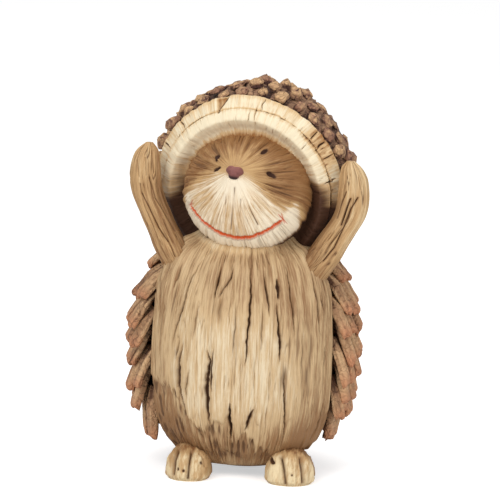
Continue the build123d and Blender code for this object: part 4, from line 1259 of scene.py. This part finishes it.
# knobs of one row: rings from the foot to a small shifted top; each ring is part circle, part polygon of four
# to six sides, and the whole is chipped by lumps; sizes are widths, lengths and heights
def knobShapes(sizes, seed):
    widths, lengths, heights = sizes.T[..., None, None]
    draws = np.random.default_rng(seed).uniform(0, 1, (len(sizes), 6))[:, :, None, None]
    share = np.array(knobs["ringShares"])[None, :, None]
    shoulder = 0.4 + 0.3 * draws[:, 0]
    size = np.where(share < shoulder, 0.94 + 0.1 * share / shoulder,
                    1.04 * (1 - ((share - shoulder) / (1 - shoulder)) ** (1.2 + draws[:, 1])) ** 0.75)
    size = np.maximum(size, 0.1)
    angle = wholeTurn(knobs["columns"])[None]
    number = np.arange(len(sizes))[:, None, None]
    facet = np.pi / np.round(4 + 2 * draws[:, 2])
    polygon = np.cos(facet) / np.cos((angle + 6 * draws[:, 3]) % (2 * facet) - facet)
    sides = 0.54 * (0.35 + 0.65 * polygon)
    turned = angle / (2 * np.pi)
    chips = roughLumps(turned * 7, share * 3.2 + number * 7, seed + 3, 7, 3)
    dents = roughLumps(turned * 5 + 0.3, share * 2 + number * 5, seed + 9, 5, 2)
    chipped = 0.94 + knobs["chipping"] * chips
    x = sides * np.cos(angle) * size * widths * chipped
    y = sides * np.sin(angle) * size * lengths * chipped
    x = x + widths * 0.22 * (draws[:, 4] - 0.5) * share
    y = y + lengths * (0.3 * (draws[:, 5] - 0.5) + 0.12) * share
    z = heights * share * (0.97 + knobs["denting"] * dents * share)
    return gridOf(x, y, z), chips, share[0]


# a row of knobs square to the dome, of uneven sizes, as far down as the shoulders leave room
def makeKnobRow(row):
    scatter = random.Random(row)
    angle = math.radians(min(knobs["firstAngle"] + row * knobs["angleStep"], 90))
    ring = cap["domeRadius"] * math.cos(angle)
    depth = cap["domeStart"] + cap["domeDepth"] * math.sin(angle)
    tilt = math.atan2(math.sin(angle) / cap["domeDepth"], math.cos(angle) / cap["domeRadius"])
    count = max(int(2 * math.pi * ring / (knobs["width"] + knobs["gap"])), 1)
    size = 1 - knobs["shrink"] * row
    draws = np.array([[scatter.uniform(-1, 0) for _ in range(3)] for _ in range(count)])
    even = np.array([knobs["width"], knobs["width"], knobs["height"]])
    sizes = even * size * (1 + knobs["uneven"] * draws)
    sizes = sizes * (1 - knobs["smaller"] * np.random.default_rng(950 + row).uniform(0, 1, (count, 1)) ** 1.5)
    if row == 0:
        sizes = sizes * np.array(knobs["frontShrink"])
    turn = 2 * np.pi * (np.arange(count) + (row % 2) / 2) / count
    along, across, none = np.cos(turn), np.sin(turn), np.zeros(count)
    outward = np.stack([along * math.cos(tilt), across * math.cos(tilt), np.full(count, math.sin(tilt))], -1)
    level = np.stack([-across, along, none], -1)
    seat = np.stack([ring * along, ring * across, none + depth], -1) + outward * knobs["seatGap"]
    floorHeight = barrel["neckHeight"] - knobs["shoulderDrop"] + knobs["width"] / 2
    seenX, seenY = pixelsOf(capPlace(seat))
    for pixelX, pixelY, reach, factor in knobs["swells"]:
        near = np.exp(-(np.hypot(seenX - pixelX, seenY - pixelY) / reach) ** 2)
        sizes[:, 2] *= 1 + (factor - 1) * near
    shapes, chips, share = knobShapes(sizes, 800 + 20 * row)
    points = capPlace(setOn(seat, shapes, level, np.cross(outward, level), outward))
    tone = np.random.default_rng(900 + row).uniform(-0.3, 0.55, count)
    grids = []
    for number in np.flatnonzero(capPlace(seat)[:, 2] >= floorHeight):
        # painted shade: each knob darkens towards its foot, between the knobs
        hollow = np.clip(0.88 * (1 - ease(share, 0.05, 0.6)) - 0.5 * chips[number], 0, 1)
        pale = 0.18 + 0.4 * ease(share, 0.35, 1.0) + tone[number] + 0.35 * chips[number]
        grids.append(closedGrid(points[number], {"hollow": hollow, "pale": pale}))
    makePiece(f"capKnobs{row + 1}", grids, knobBark, [f"cap_knobs_{row + 1}"])


for row in range(knobs["rows"]):
    makeKnobRow(row)

# Quills: the same seats and lengths as the CAD quills, from the same seeded draws
quills = {
    "rows": 8, "topHeight": 111.0, "bottomHeight": 42.0, "length": 24.0, "width": 7.0, "gap": 0.6,
    "thicknessShare": 0.42, "splay": 22.0, "flatten": 0.5, "short": 0.18, "edgeAngle": 3.0,
    "shoulderAngle": 17.0, "uneven": 0.1, "turn": 4.0, "seatGap": 0.15, "columns": 36,
    "lastLonger": 1.22, "lastFlatter": 9.0,
    # differences from the CAD rods: stouter, more gnarled, and flatter on the figure's left
    "stouter": 1.18, "sway": 5.0, "leftFlatter": 5.0, "furrows": 0.15, "chips": 0.08, "knuckles": 0.07,
    "bend": 1.1,
    # where the rings of a quill lie along it, and how its width and thickness go
    "ringShares": [0.0, 0.1, 0.2, 0.3, 0.4, 0.5, 0.6, 0.7, 0.8, 0.88, 0.94, 0.975, 0.993, 1.0],
    "outlineShares": [0, 0.35, 0.9, 0.96, 0.985, 1.0],
    "widths": [0.72, 1.0, 0.96, 0.9, 0.74, 0.5], "thicknesses": [0.5, 1.0, 0.95, 0.9, 0.74, 0.5],
}


# a cosine or sine with fuller shoulders: its power below one, with its sign kept
def fuller(wave):
    return np.sign(wave) * np.abs(wave) ** 0.85


# quills of one row: rods along z whose inner side is flattened, of nearly even width to a blunt, chipped end;
# furrows and knuckles run round them
def quillShapes(lengths, width, thickness, seed):
    share = np.array(quills["ringShares"])[None, :, None]
    wide = np.interp(share, quills["outlineShares"], quills["widths"])
    thick = np.interp(share, quills["outlineShares"], quills["thicknesses"])
    angle = wholeTurn(quills["columns"])[None]
    number = np.arange(len(lengths))[:, None, None]
    turned = angle / (2 * np.pi)
    furrows = roughLumps(turned * 9, share * 1.3 + number * 6, seed, 9, 3)
    chips = roughLumps(turned * 5, share * 6 + number * 11, seed + 5, 5, 2)
    knuckles = lumps(0 * turned + 0.5, share * 5 + number * 9 + 0.3, seed + 9, 4)
    swell = 1 + quills["furrows"] * furrows + quills["chips"] * chips + quills["knuckles"] * knuckles
    bend = quills["bend"] * lumps(number * 3 + 0.5 + 0 * share, share * 1.2 + 0.4, seed + 13, 64)
    x = 0.5 * width * wide * fuller(np.cos(angle)) * swell + bend * share
    y = 0.5 * thickness * thick * (1 + fuller(np.sin(angle)) * swell)
    z = lengths[:, None, None] * share * (1 + 0.05 * chips * ease(share, 0.8, 1))
    return gridOf(x, y, z), furrows, share[0], angle[0]


# a row of quills round the back, splayed from the barrel, each swung a little to one side
def makeQuillRow(row):
    scatter = random.Random(100 + row)
    last = row == quills["rows"] - 1
    step = (quills["topHeight"] - quills["bottomHeight"]) / (quills["rows"] - 1)
    height = quills["topHeight"] - row * step
    ring = float(barrelRadius(height)) - belly["thickness"]
    edge = quills["edgeAngle"] + (quills["shoulderAngle"] if row == 0 else 0)
    first = math.radians(belly["halfAngle"] + edge)
    span = 2 * (math.pi - first)
    count = int(span * ring / (quills["width"] + quills["gap"]))
    fromWaist = 2 * row / (quills["rows"] - 1) - 1
    splay = quills["splay"] * (1 - quills["flatten"] * fromWaist ** 2)
    reach = quills["length"] * (1 - quills["short"] * fromWaist ** 2)
    widening = float(barrelRadius(height - 0.15) - barrelRadius(height + 0.15))
    steepness = math.atan2(widening, 0.3) + math.radians(splay)
    draws = np.array([[scatter.uniform(-1, 1) for _ in range(2)] for _ in range(count)])
    turn = first + span * (np.arange(count) + 0.25 + 0.5 * (row % 2)) / count
    lengths = reach * (1 + quills["uneven"] * draws[:, 0])
    lean = steepness - np.radians(quills["leftFlatter"]) * ease(np.sin(turn), 0.2, 0.8)
    if last:
        lengths = lengths * quills["lastLonger"]
        lean = lean - np.radians(quills["lastFlatter"])
    thickness = quills["thicknessShare"] * step * quills["stouter"]
    shapes, furrows, share, angle = quillShapes(lengths, quills["width"], thickness, 1000 + 20 * row)
    sway = np.radians(quills["sway"]) * np.random.default_rng(1100 + row).uniform(-1, 1, count)
    swing = (np.radians(quills["turn"] * draws[:, 1]) + sway)[:, None, None]
    x, y, z = np.moveaxis(shapes, -1, 0)
    shapes = gridOf(x * np.cos(swing) + z * np.sin(swing), y, z * np.cos(swing) - x * np.sin(swing))
    upright, none = np.array([0, 0, 1.0]), np.zeros(count)
    out = np.stack([np.sin(turn), -np.cos(turn), none], -1)
    level = np.stack([np.cos(turn), np.sin(turn), none], -1)
    along = out * np.sin(lean)[:, None] - upright * np.cos(lean)[:, None]
    seat = out * (ring + quills["seatGap"]) + upright * height
    points = setOn(seat, shapes, level, np.cross(along, level), along)
    tone = np.random.default_rng(1200 + row).uniform(-0.2, 0.3, count)
    under = ease(-np.sin(angle), 0.2, 0.9)
    grids = []
    for number in range(count):
        # painted shade: the quills darken at their roots and on their undersides, which face the body
        hollow = np.clip(0.5 * (1 - ease(share, 0.1, 0.5)) + 0.5 * under - 0.5 * furrows[number], 0, 1)
        pale = 0.42 + tone[number] + 0.4 * furrows[number] + 0.1 * ease(share, 0.4, 0.8)
        tip = ease(share, 0.6, 1.0) * 0.9 + 0 * angle
        grids.append(closedGrid(points[number], {"hollow": hollow, "pale": pale, "tip": tip}))
    makePiece(f"quillRow{row + 1}", grids, quillBark, [f"quill_row_{row + 1}"])


for row in range(quills["rows"]):
    makeQuillRow(row)


# level ellipses carried up a bowed line, with ridges, threads and long cracks along the arm
def makeArm(arm, name, node):
    seed, rise = arm["seed"], arm["rise"]
    share = np.linspace(0, 1, arms["rows"])[:, None]
    angle = wholeTurn(arms["columns"])
    middle, halfWidth, halfDepth = armStation(arm, share)
    middle = middle * (1 - arms["rootSink"] * ease(-share, -0.34, 0)[..., None] * np.array([1, 1, 0]))
    narrowed = 0.25 + 0.75 * ease(share, -0.05, 0.17)
    ring = gridOf(halfWidth * np.cos(angle), halfDepth * np.sin(angle), 0 * angle)
    points = middle + ring * narrowed[..., None]
    cells, along = angle / (2 * np.pi), share * rise
    ridges = roughLumps(cells * 13, along / 40, seed, 13, 2) * arms["ridges"]
    threads = roughLumps(cells * 62, along / 22, seed + 5, 62, 2) * arms["threads"]
    fineSplits = splits(roughLumps(cells * 13, along / 44, seed + 9, 13, 3), 0.06)
    cut = lineCuts(*pixelsOf(points), arm["lines"]) * ease(-np.sin(angle), 0, 0.3)
    scatter = np.random.default_rng(seed)
    for number in range(arms["strayCracks"]):
        turn, centre, length = scatter.uniform(0, 1), scatter.uniform(10, 70), scatter.uniform(9, 34)
        offset = aroundFrom(cells, turn) * 45 + 0.8 * lumps(along / 6, number + 0 * along, seed + 50 + number)
        halfCut, deep = scatter.uniform(0.25, 0.6), scatter.uniform(0.4, 1.2)
        cut = np.maximum(cut, groove(offset, (along - centre) / length + 0.5, halfCut, deep))
    push = ridges + threads - arms["inset"] - arms["splitDepth"] * fineSplits - cut
    push = push * (0.3 + 0.7 * ease(rise - along, 0, 6))
    points = points + gridNormals(points, ring) * push[..., None]
    # painted shade on the arm's inner side, which faces the head
    innerSideShade = ease(-arm["side"] * np.cos(angle), 0.1, 0.95)
    hollow = largest(np.clip(cut / 1.5, 0, 1), 0.42 * innerSideShade * ease(rise - 10 - along, 0, 16),
                     0.55 * ease(-0.6 * ridges - 1.2 * threads, 0.1, 0.7), 0.6 * fineSplits)
    pale = arm["paleness"] - 0.45 * innerSideShade + 0.3 * ridges + 0.3 * ease(along, rise - 26, rise - 4)
    pale = pale - arm["darkRoot"] * ease(-along, -40, -10)
    grain = gridOf(np.cos(angle) * 8, np.sin(angle) * 8, along * 0.07)
    values = {"hollow": hollow, "pale": pale, "grain": grain}
    makePiece(name, [closedGrid(points, values)], limbWood, [node])


makeArm(arms["right"], "rightArm", "right_arm")
makeArm(arms["left"], "leftArm", "left_arm")

# Feet: rounded blocks with grooves that part the toes; grooves and pits as lineCuts takes them, and the edges
# of the toes in millimetres from the foot's middle to its outer side
feet = {
    "length": 36.0, "height": 17.6, "lead": 1.0, "columns": 300, "rows": 150, "roundness": 2.3,
    "inset": 1.0, "threads": 0.3, "waves": 0.5, "toeSwell": 1.1, "valleyHalfWidth": 3.4, "valleyDepth": 0.9,
    # the block draws in by the edge depth over the edge height above the ground
    "edgeDepth": 1.2, "edgeHeight": 2.6,
    "right": {
        "side": -1, "spread": 24.0, "width": 25.5, "seed": 1501, "toeEdges": [-3.0, 5.6],
        "grooves": [(1.5, 1.5, [(177, 446), (173.5, 458), (172, 473)]),
                    (1.5, 1.6, [(192, 449), (189.6, 463), (188.4, 477)]),
                    (1.0, 0.9, [(200, 452), (205, 458), (206, 465)])],
        "pits": [(1.4, 1.3, [(177.3, 467), (177.4, 467.6)]), (1.4, 1.3, [(183.6, 469), (183.7, 469.4)]),
                 (1.6, 0.9, [(202, 461), (202.4, 461.5)])],
    },
    "left": {
        "side": 1, "spread": 27.0, "width": 27.5, "seed": 1601, "toeEdges": [-5.0, 5.0],
        "grooves": [(1.5, 1.6, [(281, 455), (283.5, 468), (285, 482)]),
                    (1.4, 1.5, [(301, 455), (302.6, 467), (303.4, 481)]),
                    (0.8, 0.7, [(292, 458), (292.6, 466)])],
        "pits": [(1.6, 1.8, [(268.5, 453.5), (272.5, 461)]), (1.2, 0.9, [(291.7, 473.3), (291.8, 473.6)])],
    },
}


# rays from the middle of the sole out to a rounded block, |x|^n + |y|^n + |z|^n = 1 in its own half sizes;
# the toes swell between the grooves, in wide valleys
def makeFoot(foot, name, node):
    seed = foot["seed"]
    turn = wholeTurn(feet["columns"])
    lift = np.linspace(np.radians(89), np.radians(-12), feet["rows"])[:, None]
    ray = gridOf(np.cos(lift) * np.cos(turn), np.cos(lift) * np.sin(turn), np.sin(lift))
    power = feet["roundness"]
    halves = np.array([foot["width"] / 2, feet["length"] / 2, feet["height"]])
    points = ray * ((np.abs(ray / halves) ** power).sum(-1) ** (-1 / power))[..., None]
    x, y, z = np.moveaxis(points, -1, 0)
    outer, toes = x * foot["side"], ease(-y, 1, 9)
    middle = np.array([foot["side"] * foot["spread"], -barrel["undersideRadius"] - feet["lead"], 0.0])
    seen = pixelsOf(points + middle)
    cut = lineCuts(*seen, foot["grooves"]) * toes
    wide = [(feet["valleyHalfWidth"], 1.0, pixels) for _, _, pixels in foot["grooves"][:2]]
    valleys = lineCuts(*seen, wide) * toes
    pits = lineCuts(*seen, foot["pits"]) * ease(-y, 4, 8)
    edges = [-foot["width"] / 2, *foot["toeEdges"], foot["width"] / 2]
    swell = np.zeros(x.shape)
    for low, high in zip(edges[:-1], edges[1:]):
        share = np.clip((outer - low) / (high - low), 0, 1)
        swell = np.maximum(swell, np.sin(np.pi * share) ** 0.7 * feet["toeSwell"] * toes)
    threads = roughLumps(x / 1.3 + 60, (y + 2 * z) / 12 + 40, seed, 128, 3)
    waves = roughLumps(x / 6 + 30, y / 9 + 30, seed + 9, 64, 2)
    push = threads * feet["threads"] + waves * feet["waves"] + swell - cut
    push = push - feet["valleyDepth"] * valleys - pits
    edge = feet["edgeDepth"] * ease(feet["edgeHeight"] - z, 0, feet["edgeHeight"])
    push = push * ease(z, 0, 2.0) - feet["inset"] - edge
    points = points + gridNormals(points, points) * push[..., None]
    points[..., 2] = np.maximum(points[..., 2], 0)
    mottled = roughLumps(x / 3 + 10, (y - z) / 3 + 50, seed + 17, 64, 3)
    # painted shade: the feet darken towards the back and the top, where they go under the belly
    pale = 0.92 - 0.8 * ease(y, -15, 0) + 0.2 * waves + 0.12 * threads + 0.3 * mottled
    pale = pale - 0.35 * ease(z, 11, 18)
    hollow = largest(np.clip(cut / 1.9, 0, 1) ** 1.3, np.clip(pits, 0, 1), 0.6 * ease(y, -6, 10),
                     0.52 * valleys)
    values = {"hollow": hollow, "pale": pale, "grain": gridOf(x, (y + z) * 0.12, z * 0.1)}
    makePiece(name, [closedGrid(points + middle, values)], footWood, [node])


makeFoot(feet["right"], "rightFoot", "right_foot")
makeFoot(feet["left"], "leftFoot", "left_foot")
print("pieces built")

low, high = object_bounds()
for boxName, corners in (("CAD", (*cadLow, *cadHigh)), ("visual", (*low, *high))):
    print(boxName, "box", [round(v * 1000, 1) for v in corners])
